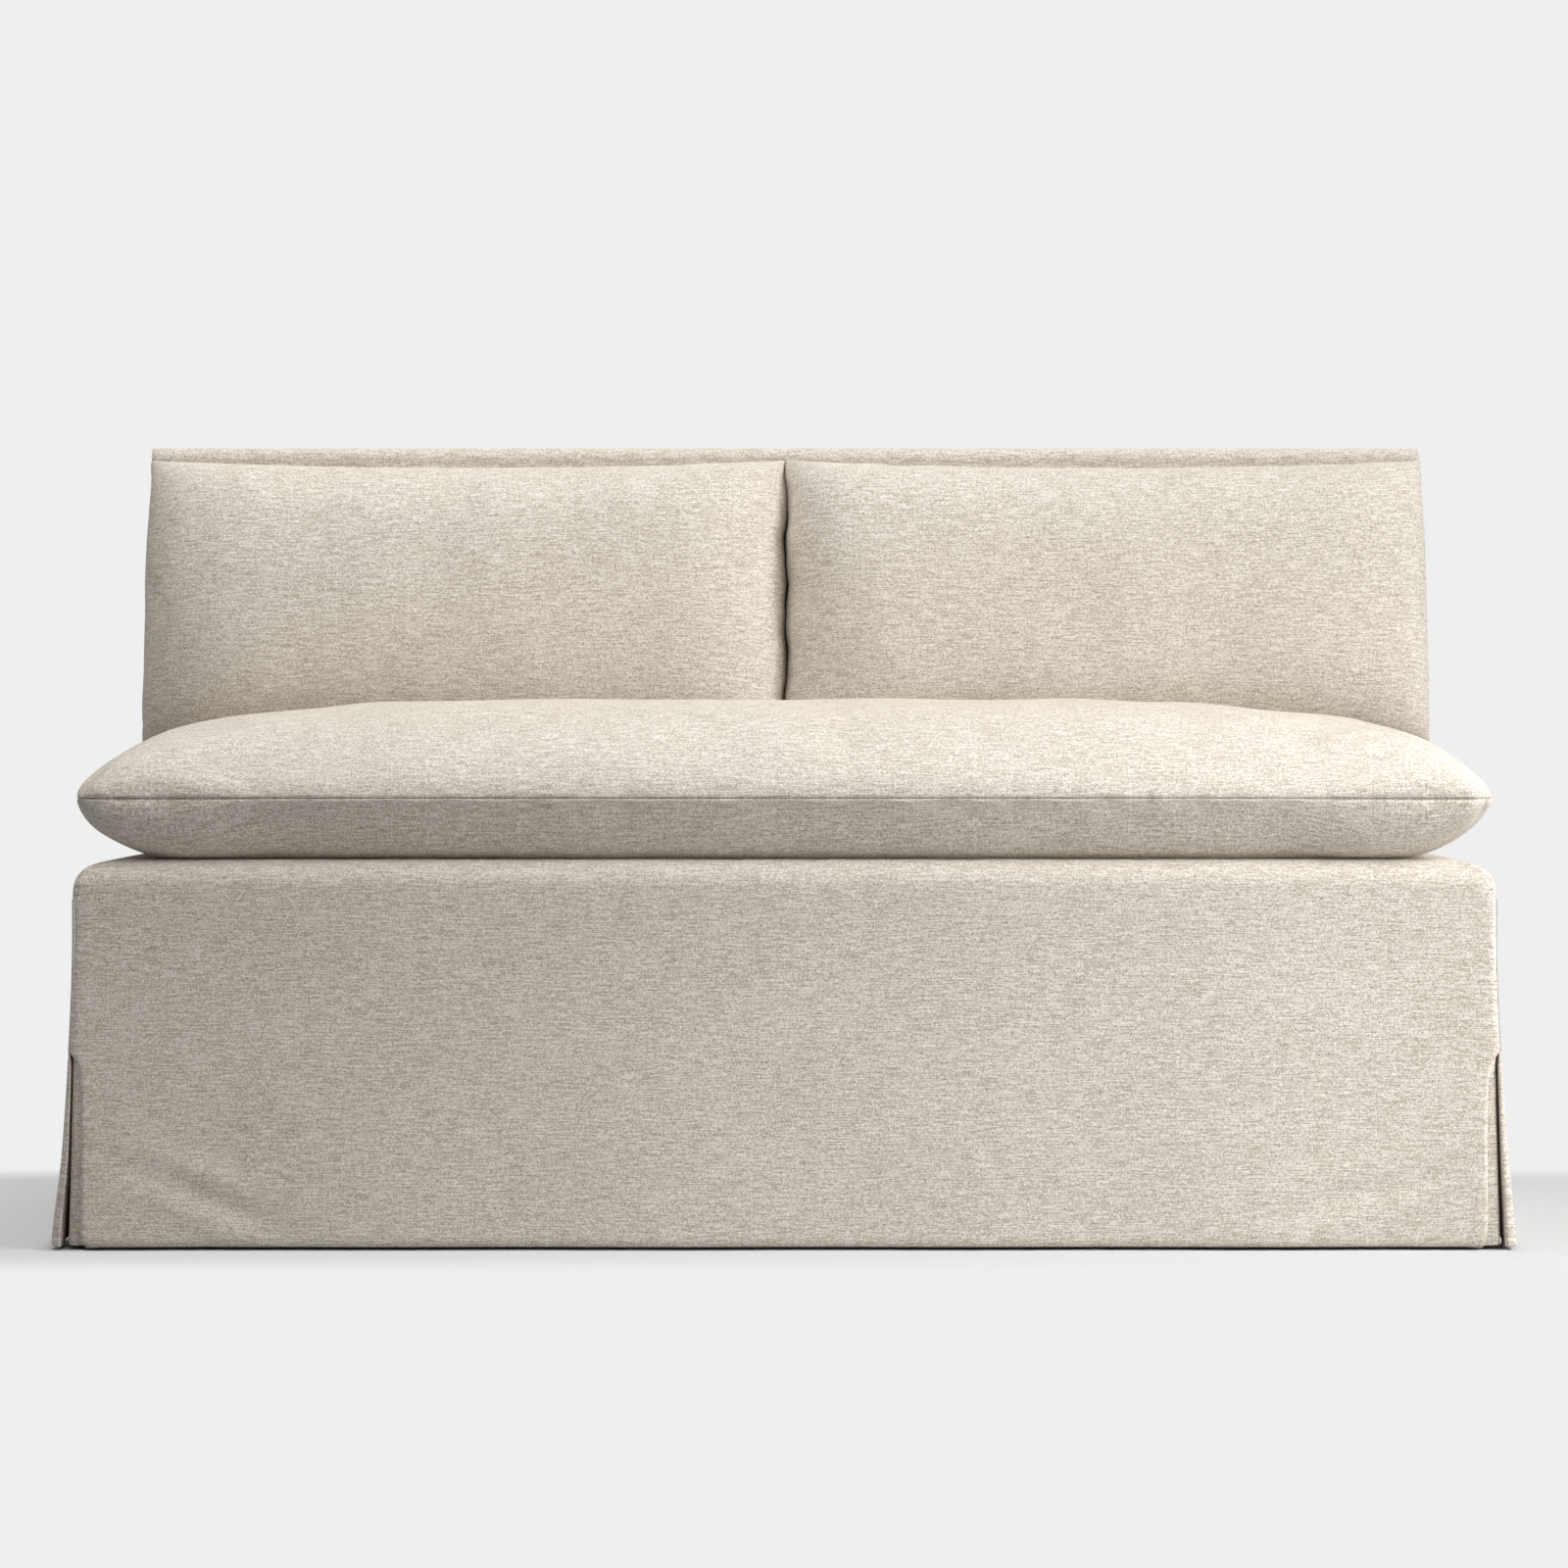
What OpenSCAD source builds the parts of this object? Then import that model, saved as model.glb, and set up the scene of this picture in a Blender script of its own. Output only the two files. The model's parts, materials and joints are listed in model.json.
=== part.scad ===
// Armless dining banquette: a wooden seat and back frame with sinuous springs, padded and
// dressed in a slipcover with corner kick pleats, one loose seat cushion and two back cushions.
// Millimetres. +X is to the right as seen from the front, +Y to the rear, +Z up. Left and right
// in names are as seen from the front.
// The origin is on the floor under the middle of the body.

/* [Body] */
// Width across the cover at the seat rails
body_w = 1524; // [1300:4:1900]
// Height to the top of the back
overall_h = 890; // [850:2:960]
// Height of the deck that the seat cushion lies on
deck_h = 416; // [400:1:440]
// Depth of the body from the front panel to the rear panel
body_d = 690; // [650:2:760]
// Depth of the back at the deck, from its inside to the rear panel
back_d = 130; // [122:1:160]
// How far the inside back leans to the rear between the deck and the top
back_lean = 45; // [30:1:55]

/* [Slipcover] */
// Thickness of the cover cloth
cover_t = 2; // [1.5:0.1:3]
// Gap between the hem and the floor
hem_gap = 2.5; // [1:0.5:8]
// Outward fall of the side panels at the hem
side_flare = 20; // [19:1:30]
// Outward fall of the front and rear panels at the hem
end_flare = 12; // [8:1:20]
// Height at which the skirt leaves the padded frame
skirt_h = 330; // [280:1:350]
// Radius of the waterfall edge along the front of the deck
front_roll = 28; // [20:1:38]
// Width of the rolled ends of the deck
end_roll_w = 63; // [45:1:80]
// Height of the rolled ends of the deck
end_roll_h = 42; // [38:1:46]
// Radius of the front edge along the top of the back
back_roll = 18; // [12:1:24]

/* [Corner pleats] */
// Distance from the wadding's lower edge down to the top of a pleat
pleat_drop = 12; // [6:1:30]
// How far the front panel's fold stands in from the corner at the hem
pleat_open = 11; // [6:1:16]
// Thickness of the side panel's rolled fold at the hem
pleat_fold_t = 14; // [8:1:15]
// Depth of the side panel's rolled fold
pleat_fold_d = 26; // [16:1:40]
// Length of a pleat insert behind each panel
insert_reach = 72; // [50:1:100]
// Corner radius of a pleat insert
insert_r = 12; // [8:1:20]
// Outward fall of a pleat insert at its hem
insert_flare = 5; // [2:0.5:5]
// How much higher an insert's hem hangs than the panels' hems
insert_lift = 6; // [2:1:14]

/* [Padding] */
// Thickness of the wadding over the rails
wadding_t = 8; // [6:0.5:10]
// Thickness of the deck pad
deck_pad_t = 30; // [26:1:36]
// Thickness of the insulator sheet over the springs
insulator_t = 2; // [1:0.5:3]
// Thickness of the foam on the inside back
back_pad_t = 25; // [18:1:32]
// Thickness of the padding over the top rail
top_pad_t = 10; // [8:1:14]
// Thickness of the board that closes the outside back
rear_board_t = 4; // [3:0.5:6]
// Thickness of the dust cover under the frame
dust_cover_t = 1; // [0.8:0.1:2]

/* [Seat frame] */
// Thickness of the rails
rail_t = 28; // [25:1:32]
// Height of the seat rails
rail_h = 150; // [140:1:160]
// Height of the centre rail
centre_rail_h = 90; // [70:1:100]
// Side of the square legs
leg_w = 45; // [40:1:50]
// Distance from the top of the rails down to the top of the corner legs
leg_drop = 40; // [32:1:45]
// Side of the triangular corner blocks
block_w = 90; // [70:1:100]
// Diameter of the leg glides
glide_d = 32; // [24:1:38]
// Thickness of the leg glides
glide_h = 8; // [5:1:12]

/* [Back frame] */
// Thickness of the back posts
post_t = 34; // [30:1:40]
// Depth of a post's foot in front of the rear rail
post_foot_d = 60; // [50:1:66]
// Height of the top rail
top_rail_h = 30; // [26:1:36]
// Height of the lower rail
lower_rail_h = 60; // [45:1:70]
// Height of the lower rail's underside above the deck
lower_rail_lift = 6; // [4:1:14]
// Width of the webbing straps
strap_w = 50; // [40:1:60]
// Thickness of the webbing straps
strap_t = 2; // [1.5:0.1:2.5]

/* [Fasteners] */
// Diameter of the leg and back bolts
bolt_d = 8; // [6:0.5:10]
// Diameter of the bolt heads
bolt_head_d = 18; // [16:1:20]
// Height of the bolt heads
bolt_head_h = 5; // [4:0.5:6]
// Width across the flats of the nuts
nut_w = 13; // [12:0.5:15]
// Height of the nuts
nut_h = 6; // [5:0.5:7]
// Diameter of the washers
washer_d = 20; // [18:1:22]
// Thickness of the washers
washer_t = 1.6; // [1.2:0.1:2]
// Diameter of the frame screws
screw_d = 5; // [4:0.5:6]
// Diameter of the screw heads
screw_head_d = 10; // [9:0.5:12]
// Height of the screw heads
screw_head_h = 3; // [2:0.5:4]
// Length of the frame screws
screw_l = 80; // [70:1:84]

/* [Springs] */
// Diameter of the spring wire
wire_d = 4; // [3:0.1:4.4]
// Width across a spring
spring_w = 54; // [48:1:64]
// Distance from one rung of a spring to the next
rung_pitch = 22; // [18:1:26]
// Thickness of the clip plate
clip_t = 1.2; // [1:0.1:1.5]
// Width of a clip
clip_w = 16; // [12:1:20]
// Length of a clip's foot
clip_foot = 11; // [9:0.5:12]

/* [Seat cushion] */
// Distance from the end corners of the seat cushion to the body's side
seat_margin = 5; // [0:0.5:12]
// Gap between the rear seam of the seat cushion and the inside back
seat_rear_gap = 6; // [2:0.5:20]
// Height of the seam above the deck
seam_h = 64; // [50:1:76]
// Height of the crown above the seam
seat_crown = 107; // [80:1:120]
// Distance from an end to the full crown
seat_end_reach = 400; // [250:5:440]
// How far the edges draw in between the corners
seat_draw = 5; // [2:0.5:10]

/* [Back cushions] */
// Gap between the two back cushions at the middle
back_gap = 4; // [3:0.5:10]
// Distance from the outer corners to the body's side
back_margin = 2; // [0:1:12]
// Height of a back cushion between its corners
back_h = 340; // [300:1:350]
// Crown of the front face over the seam
back_crown = 94; // [70:1:100]
// Depth of the flattened rear face behind the seam
back_rear = 42; // [30:1:50]
// Distance from an end to the full crown
back_end_reach = 230; // [150:5:300]
// How far the upper and lower edges draw in between the corners
back_draw = 7; // [3:0.5:12]
// How far the side edges draw in between the corners
back_side_draw = 1.5; // [0:0.5:8]
// Angle by which the cushions lean more than the inside back
extra_lean = 2.5; // [1:0.1:4]

/* [Zips] */
// Length of a zip
zip_l = 400; // [300:5:460]
// Width of a zip beside the seam
zip_w = 4; // [3:0.1:4.5]
// Thickness of a zip
zip_t = 3; // [2.5:0.1:3.5]

/* [Hidden] */

// Clearances, and the overrun of every cut
soft_gap = 0.3;
bolt_fit = 0.2;
cut = 1;

// Colours
oatmeal = "#cfc6b7";
hardwood = "#b98f5e";
steel = "#9a9ea3";
foam = "#e9e2c8";
wadding_white = "#f0eee8";
burlap = "#a98f68";
cambric = "#2e2c2b";

// Half sizes and heights that everything else sits on
half_w = body_w / 2;
half_d = body_d / 2;
seat_room = body_d - back_d;
frame_half_w = half_w - cover_t - wadding_t;
frame_front = -half_d + cover_t + wadding_t;
frame_rear = half_d - cover_t - rear_board_t;
wire_lift = wire_d / 2 + clip_t + soft_gap;
clip_h = wire_lift + wire_d / 2 + soft_gap + clip_t;
rail_top = deck_h - cover_t - deck_pad_t - insulator_t - clip_h;
rail_low = rail_top - rail_h;
insulator_z = rail_top + clip_h;
pad_z = insulator_z + insulator_t;
roll_z = deck_h - end_roll_h;
pleat_top = rail_low - pleat_drop;
leg_top = rail_top - leg_drop;
post_foot_y = frame_rear - rail_t - post_foot_d;
top_rail_z = overall_h - cover_t - top_pad_t - top_rail_h;
lower_rail_z = deck_h + lower_rail_lift;
back_angle = atan(back_lean / (overall_h - deck_h));
wood_inset = cover_t + back_pad_t + strap_t;

// Cloth falls from the frame faster the lower it hangs
drape_power = 1.6;
function hang_share(z) =
    z >= skirt_h ? 0 : pow((skirt_h - z) / (skirt_h - hem_gap), drape_power);
function hang(z, flare) = flare * hang_share(z);

// Half extent of a wall whose top is rolled over by w and h, taken at an inset from its face
function rolled(z, half, w, h, inset) =
    let (up = (z - deck_h + h) / (h - inset))
    up <= 0 ? half - inset : half - w + (w - inset) * sqrt(max(0, 1 - up * up));

function side_x(z, inset) = rolled(z, half_w, end_roll_w, end_roll_h, inset) + hang(z, side_flare);
function end_y(z, inset) = rolled(z, half_d, front_roll, front_roll, inset) + hang(z, end_flare);

// Face of the inside back at a height, and the profile from there over the top
function inside_y(z) = -half_d + seat_room + back_lean * (z - deck_h) / (overall_h - deck_h);
roll_steps = 5;
function back_path(inset, low_z) =
    let (
        r = back_roll - inset,
        mid_z = overall_h - back_roll,
        mid_y = inside_y(mid_z) + back_roll / cos(back_angle)
    )
    concat(
        [[inside_y(low_z) + inset / cos(back_angle), low_z]],
        [for (k = [0:roll_steps])
            let (a = 180 - back_angle - (90 - back_angle) * k / roll_steps)
            [mid_y + r * cos(a), mid_z + r * sin(a)]]
    );
function reversed(list) = [for (k = [len(list) - 1:-1:0]) list[k]];

// Stands a Y-Z outline up and extrudes it along X, centred on x
module along_x(x, length) {
    translate([x - length / 2, 0, 0])
        rotate([90, 0, 90])
            linear_extrude(height = length)
                children();
}

// A box between two corners
module block(low, high) {
    translate(low) cube(high - low);
}

// A closed sheet between two equal grids of points. As seen from outside, rows go up and
// columns go to the right.
function sheet_faces(rows, cols) =
    let (n = rows * cols)
    concat(
        [for (i = [0:rows - 2]) for (j = [0:cols - 2])
            let (p = i * cols + j)
            each [[p, p + cols, p + cols + 1], [p, p + cols + 1, p + 1],
                [n + p, n + p + cols + 1, n + p + cols], [n + p, n + p + 1, n + p + cols + 1]]],
        [for (j = [0:cols - 2])
            let (q = (rows - 1) * cols + j)
            each [[j, j + 1, n + j + 1], [j, n + j + 1, n + j],
                [q + 1, q, n + q], [q + 1, n + q, n + q + 1]]],
        [for (i = [0:rows - 2])
            let (p = i * cols, q = i * cols + cols - 1)
            each [[p + cols, p, n + p], [p + cols, n + p, n + p + cols],
                [q, q + cols, n + q + cols], [q, n + q + cols, n + q]]]
    );

module sheet(outer, inner) {
    polyhedron(
        points = concat([for (row = outer) each row], [for (row = inner) each row]),
        faces = sheet_faces(len(outer), len(outer[0]))
    );
}

// A closed pillow from a grid of points on its upper face and one on its lower face, which
// share their rim. As seen from above, rows go up and columns go to the right. Each square is
// split towards the middle, so that no triangle lies wholly on the rim.
function split(a, b, c, d, turned) = turned ? [[a, d, b], [d, c, b]] : [[a, d, c], [a, c, b]];
function pillow_faces(rows, cols) =
    let (
        under = function (i, j)
            i == 0 || j == 0 || i == rows - 1 || j == cols - 1
                ? i * cols + j
                : rows * cols + (i - 1) * (cols - 2) + j - 1
    )
    [for (i = [0:rows - 2]) for (j = [0:cols - 2])
        let (p = i * cols + j, turned = (2 * i < rows - 1) != (2 * j < cols - 1))
        each concat(
            split(p, p + 1, p + cols + 1, p + cols, turned),
            [for (face = split(under(i, j), under(i, j + 1), under(i + 1, j + 1),
                under(i + 1, j), turned)) reversed(face)]
        )];

module pillow(upper, lower) {
    rows = len(upper);
    cols = len(upper[0]);
    polyhedron(
        points = concat(
            [for (row = upper) each row],
            [for (i = [1:rows - 2]) for (j = [1:cols - 2]) lower[i][j]]
        ),
        faces = pillow_faces(rows, cols)
    );
}

// Shares from one edge to the other, close together at the edges
function edge_shares(count) = [for (k = [0:count]) -cos(180 * k / count)];

// Swell of a stuffed edge: nothing at the seam, one at its reach
function swell(distance, reach, run, rise) =
    pow(1 - pow(1 - min(1, max(0, distance) / reach), run), 1 / rise);
blunt_run = 2.4;
blunt_rise = 2.6;
soft_run = 2;
soft_rise = 2;

// Places of the wood and of what is bolted through it
inner_half_w = frame_half_w - rail_t;
inner_front = frame_front + rail_t;
inner_rear = frame_rear - rail_t;
front_leg_x = inner_half_w - leg_w;
rear_leg_x = frame_half_w - post_t - leg_w;
rear_leg_y = inner_rear - leg_w;
top_rail_top = top_rail_z + top_rail_h;
post_x = frame_half_w - post_t / 2;
bolt_shares = [0.25, 0.5, 0.75];
bolt_z = [for (share = bolt_shares) rail_low + rail_h * share];
centre_bolt_z = [rail_top - washer_d * 2.2, rail_top - washer_d * 0.8];
centre_screw_z = [rail_low + centre_rail_h * 0.25, rail_low + centre_rail_h * 0.75];
function wood_y(z) = inside_y(z) + wood_inset / cos(back_angle);
post_screw_shares = [0.28, 0.72];
post_screw_y = [for (share = post_screw_shares)
    wood_y(top_rail_top) * (1 - share) + frame_rear * share];

module on_side(side) {
    if (side > 0) children();
    else mirror([1, 0, 0]) children();
}

module both_sides() {
    children();
    mirror([1, 0, 0]) children();
}

// A bolt that starts flush in an outer face and points along +Z through the wood
module bolt(through) {
    cylinder(d = bolt_head_d, h = bolt_head_h, $fn = 48);
    cylinder(d = bolt_d, h = through + washer_t + nut_h * 1.5, $fn = 32);
}

module bolt_hole(through) {
    translate([0, 0, -cut])
        cylinder(d = bolt_head_d + 2 * bolt_fit, h = bolt_head_h + cut, $fn = 48);
    cylinder(d = bolt_d + 2 * bolt_fit, h = through + cut, $fn = 32);
}

module nut_and_washer(through) {
    translate([0, 0, through])
        difference() {
            cylinder(d = washer_d, h = washer_t, $fn = 48);
            translate([0, 0, -cut])
                cylinder(d = bolt_d + 2 * bolt_fit, h = washer_t + 2 * cut, $fn = 32);
        }
    translate([0, 0, through + washer_t])
        difference() {
            cylinder(d = nut_w / cos(30), h = nut_h, $fn = 6);
            translate([0, 0, -cut])
                cylinder(d = bolt_d + 2 * bolt_fit, h = nut_h + 2 * cut, $fn = 32);
        }
}

module screw() {
    cylinder(d = screw_head_d, h = screw_head_h, $fn = 32);
    cylinder(d = screw_d, h = screw_l, $fn = 24);
}

module screw_hole() {
    translate([0, 0, -cut])
        cylinder(d = screw_head_d + 2 * bolt_fit, h = screw_head_h + cut, $fn = 32);
    cylinder(d = screw_d + 2 * bolt_fit, h = screw_l + cut, $fn = 24);
}

// Each puts its child at every place of one kind of fastener, on the +X side where both sides
// have it, pointing into the wood
module at_front_leg_face() {
    translate([front_leg_x + leg_w / 2, frame_front, bolt_z[0]]) rotate([-90, 0, 0]) children();
}

module at_front_leg_side() {
    translate([frame_half_w, inner_front + leg_w / 2, bolt_z[1]]) rotate([0, -90, 0]) children();
}

module at_rear_leg_face() {
    translate([rear_leg_x + leg_w / 2, frame_rear, bolt_z[0]]) rotate([90, 0, 0]) children();
}

module at_rear_leg_side() {
    translate([frame_half_w, rear_leg_y + leg_w / 2, bolt_z[1]]) rotate([0, -90, 0]) children();
}

module at_post_foot() {
    for (z = [bolt_z[0], bolt_z[2]])
        translate([post_x, frame_rear, z]) rotate([90, 0, 0]) children();
}

module at_centre_foot() {
    for (z = centre_bolt_z)
        translate([0, frame_rear, z]) rotate([90, 0, 0]) children();
}

module at_side_rail_end() {
    for (z = [bolt_z[0], bolt_z[2]])
        translate([frame_half_w - rail_t / 2, frame_front, z]) rotate([-90, 0, 0]) children();
}

module at_centre_rail_end() {
    for (z = centre_screw_z)
        translate([0, frame_front, z]) rotate([-90, 0, 0]) children();
}

module at_post_top(x) {
    for (y = post_screw_y)
        translate([x, y, top_rail_top]) rotate([180, 0, 0]) children();
}

// Seat frame

module front_rail() {
    color(hardwood) difference() {
        block([-frame_half_w, frame_front, rail_low], [frame_half_w, inner_front, rail_top]);
        both_sides() {
            at_front_leg_face() bolt_hole(rail_t + leg_w);
            at_side_rail_end() screw_hole();
        }
        at_centre_rail_end() screw_hole();
    }
}

module rear_rail() {
    color(hardwood) difference() {
        block([-frame_half_w, inner_rear, rail_low], [frame_half_w, frame_rear, rail_top]);
        both_sides() {
            at_rear_leg_face() bolt_hole(rail_t + leg_w);
            at_post_foot() bolt_hole(rail_t + post_foot_d);
        }
        at_centre_foot() bolt_hole(rail_t + post_foot_d);
    }
}

// A side rail has a pocket, open to the inside, round each nut of the post behind it
module nut_pocket() {
    half = washer_d / 2 + bolt_fit;
    translate([-half, -half, rail_t + post_foot_d - cut])
        cube([2 * washer_d, 2 * half, washer_t + nut_h * 2 + cut]);
}

module side_rail(side) {
    color(hardwood) on_side(side) difference() {
        block([inner_half_w, inner_front, rail_low], [frame_half_w, post_foot_y, rail_top]);
        at_front_leg_side() bolt_hole(rail_t + leg_w);
        at_side_rail_end() screw_hole();
        at_post_foot() rotate([0, 0, 180]) nut_pocket();
    }
}

hanger_l = 70;
module centre_rail() {
    color(hardwood) difference() {
        block([-rail_t / 2, inner_front, rail_low], [rail_t / 2, post_foot_y, rail_low + centre_rail_h]);
        at_centre_rail_end() screw_hole();
        translate([0, 0, rail_low - cut])
            cylinder(d = bolt_d + 2 * bolt_fit, h = hanger_l / 2 + cut, $fn = 32);
    }
}

// Triangular block glued into a corner above a leg; its right angle is at the corner
module corner_block(x, y, toward_y) {
    translate([x, y, leg_top])
        linear_extrude(height = rail_top - leg_top)
            polygon([[0, 0], [-block_w, 0], [0, toward_y * block_w]]);
}

module corner_blocks() {
    color(hardwood) both_sides() {
        corner_block(inner_half_w, inner_front, 1);
        corner_block(frame_half_w - post_t, inner_rear, -1);
    }
}

// Legs, their glides and bolts

nail_d = 4;
nail_l = 20;
module nail_hole(x, y) {
    translate([x, y, glide_h - cut]) cylinder(d = nail_d + 2 * bolt_fit, h = nail_l + cut, $fn = 24);
}

module leg_front(side) {
    color(hardwood) on_side(side) difference() {
        translate([front_leg_x, inner_front, glide_h]) cube([leg_w, leg_w, leg_top - glide_h]);
        at_front_leg_face() bolt_hole(rail_t + leg_w);
        at_front_leg_side() bolt_hole(rail_t + leg_w);
        nail_hole(front_leg_x + leg_w / 2, inner_front + leg_w / 2);
    }
}

module leg_rear(side) {
    color(hardwood) on_side(side) difference() {
        translate([rear_leg_x, rear_leg_y, glide_h]) cube([leg_w, leg_w, leg_top - glide_h]);
        at_rear_leg_face() bolt_hole(rail_t + leg_w);
        at_rear_leg_side() bolt_hole(post_t + leg_w);
        nail_hole(rear_leg_x + leg_w / 2, rear_leg_y + leg_w / 2);
    }
}

module leg_centre() {
    color(hardwood) difference() {
        translate([-leg_w / 2, -leg_w / 2, glide_h]) cube([leg_w, leg_w, rail_low - glide_h]);
        translate([0, 0, rail_low - hanger_l / 2])
            cylinder(d = bolt_d + 2 * bolt_fit, h = hanger_l / 2 + cut, $fn = 32);
        nail_hole(0, 0);
    }
}

module glide() {
    cylinder(d = glide_d, h = glide_h, $fn = 48);
    cylinder(d = nail_d, h = glide_h + nail_l, $fn = 24);
}

module leg_glides() {
    color(steel) {
        both_sides() {
            translate([front_leg_x + leg_w / 2, inner_front + leg_w / 2, 0]) glide();
            translate([rear_leg_x + leg_w / 2, rear_leg_y + leg_w / 2, 0]) glide();
        }
        glide();
    }
}

module leg_bolts() {
    color(steel) {
        both_sides() {
            at_front_leg_face() bolt(rail_t + leg_w);
            at_front_leg_side() bolt(rail_t + leg_w);
            at_rear_leg_face() bolt(rail_t + leg_w);
            at_rear_leg_side() bolt(post_t + leg_w);
        }
        translate([0, 0, rail_low - hanger_l / 2]) cylinder(d = bolt_d, h = hanger_l, $fn = 32);
    }
}

module leg_nuts() {
    color(steel) both_sides() {
        at_front_leg_face() nut_and_washer(rail_t + leg_w);
        at_front_leg_side() nut_and_washer(rail_t + leg_w);
        at_rear_leg_face() nut_and_washer(rail_t + leg_w);
        at_rear_leg_side() nut_and_washer(post_t + leg_w);
    }
}

module frame_screws() {
    color(steel) {
        both_sides() {
            at_side_rail_end() screw();
            at_post_top(post_x) screw();
        }
        at_centre_rail_end() screw();
        at_post_top(0) screw();
    }
}

// Back frame

module lower_rail_outline() {
    low = lower_rail_z;
    high = lower_rail_z + lower_rail_h;
    polygon([[wood_y(low), low], [wood_y(high), high],
        [wood_y(high) + rail_t, high], [wood_y(low) + rail_t, low]]);
}

module post_at(x) {
    difference() {
        along_x(x, post_t) difference() {
            polygon([[post_foot_y, rail_low], [inner_rear, rail_low], [inner_rear, rail_top],
                [frame_rear, rail_top], [frame_rear, top_rail_z], [wood_y(top_rail_z), top_rail_z],
                [wood_y(rail_top), rail_top], [post_foot_y, rail_top]]);
            lower_rail_outline();
        }
        at_post_top(x) screw_hole();
    }
}

module back_post(side) {
    color(hardwood) on_side(side) difference() {
        post_at(post_x);
        at_post_foot() bolt_hole(rail_t + post_foot_d);
        at_rear_leg_side() bolt_hole(post_t + leg_w);
    }
}

module back_post_centre() {
    color(hardwood) difference() {
        post_at(0);
        at_centre_foot() bolt_hole(rail_t + post_foot_d);
    }
}

module back_top_rail() {
    color(hardwood) difference() {
        along_x(0, 2 * frame_half_w)
            polygon([[wood_y(top_rail_z), top_rail_z], [wood_y(top_rail_top), top_rail_top],
                [frame_rear, top_rail_top], [frame_rear, top_rail_z]]);
        both_sides() at_post_top(post_x) screw_hole();
        at_post_top(0) screw_hole();
    }
}

module back_lower_rail() {
    color(hardwood) along_x(0, 2 * frame_half_w) lower_rail_outline();
}

module back_bolts() {
    color(steel) {
        both_sides() at_post_foot() bolt(rail_t + post_foot_d);
        at_centre_foot() bolt(rail_t + post_foot_d);
    }
}

module back_nuts() {
    color(steel) {
        both_sides() at_post_foot() nut_and_washer(rail_t + post_foot_d);
        at_centre_foot() nut_and_washer(rail_t + post_foot_d);
    }
}

strap_count = 8;
module back_webbing() {
    strap_pitch = 2 * frame_half_w / strap_count;
    lean_t = strap_t / cos(back_angle);
    color(burlap)
        for (k = [0:strap_count - 1])
            along_x((k + 0.5) * strap_pitch - frame_half_w, strap_w)
                polygon([[wood_y(lower_rail_z) - lean_t, lower_rail_z],
                    [wood_y(lower_rail_z), lower_rail_z], [wood_y(top_rail_top), top_rail_top],
                    [wood_y(top_rail_top) - lean_t, top_rail_top]]);
}

module outside_back_board() {
    color(burlap)
        block([-frame_half_w, frame_rear, rail_low],
            [frame_half_w, frame_rear + rear_board_t, top_rail_top]);
}

// Springs: straight rungs joined by half rings, from the middle of one rail to the other. The
// wire is a little thinner in its bends, and each rung runs a little into them.
bend_thin = 0.04;
bend_lap = 0.05;
spring_count = 10;
spring_front = frame_front + rail_t / 2;
spring_rear = frame_rear - rail_t / 2;
spring_loops = round((spring_rear - spring_front) / rung_pitch);
rung_step = (spring_rear - spring_front) / spring_loops;
rung_l = spring_w - wire_d - rung_step;
function spring_x(k) = (k - 0.5 - spring_count / 2) * 2 * inner_half_w / spring_count;

module seat_spring(k) {
    color(steel) translate([spring_x(k), spring_front, rail_top + wire_lift]) {
        for (j = [0:spring_loops])
            translate([-rung_l / 2 - bend_lap, j * rung_step, 0])
                rotate([0, 90, 0]) cylinder(d = wire_d, h = rung_l + 2 * bend_lap, $fn = 24);
        for (j = [0:spring_loops - 1])
            translate([(j % 2 == 0 ? 1 : -1) * rung_l / 2, (j + 0.5) * rung_step, 0])
                rotate([0, 0, j % 2 == 0 ? -90 : 90])
                    rotate_extrude(angle = 180, $fn = 48)
                        translate([rung_step / 2, 0]) circle(d = wire_d - bend_thin, $fn = 24);
    }
}

module clip(outward) {
    ring_r = wire_d / 2 + soft_gap;
    along_x(0, clip_w) difference() {
        union() {
            translate([0, wire_lift]) circle(r = ring_r + clip_t, $fn = 32);
            translate([outward > 0 ? 0 : -clip_foot, 0]) square([clip_foot, clip_t]);
        }
        translate([0, wire_lift]) circle(r = ring_r, $fn = 32);
    }
}

module spring_clips() {
    color(steel)
        for (k = [1:spring_count]) {
            translate([spring_x(k), spring_front, rail_top]) clip(-1);
            translate([spring_x(k), spring_rear, rail_top]) clip(1);
        }
}

// Padding

module insulator_sheet() {
    color(burlap)
        block([-frame_half_w, frame_front, insulator_z],
            [frame_half_w, inside_y(pad_z) + back_pad_t, pad_z]);
}

// Heights of the deck pad's layers follow the rolled ends of the cover
pad_layers = 6;
pad_inset = cover_t + 2 * soft_gap;
module deck_pad() {
    start = asin(max(0, (pad_z - roll_z) / (end_roll_h - pad_inset)));
    heights = [for (k = [0:pad_layers])
        roll_z + (end_roll_h - pad_inset) * sin(start + (90 - start) * k / pad_layers)];
    rear = inside_y(pad_z) - soft_gap;
    points = [for (z = heights)
        let (x = side_x(z, pad_inset), y = -end_y(z, pad_inset))
        each [[-x, y, z], [x, y, z], [x, rear, z], [-x, rear, z]]];
    sides = [for (k = [0:pad_layers - 1]) for (j = [0:3])
        let (p = 4 * k + j, q = 4 * k + (j + 1) % 4)
        each [[p, p + 4, q + 4], [p, q + 4, q]]];
    top = 4 * pad_layers;
    color(foam)
        polyhedron(points = points,
            faces = concat([[0, 1, 2, 3]], sides, [[top + 3, top + 2, top + 1, top]]));
}

module front_wadding() {
    color(wadding_white)
        block([-frame_half_w - wadding_t, frame_front - wadding_t, rail_low],
            [frame_half_w + wadding_t, frame_front, roll_z]);
}

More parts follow.
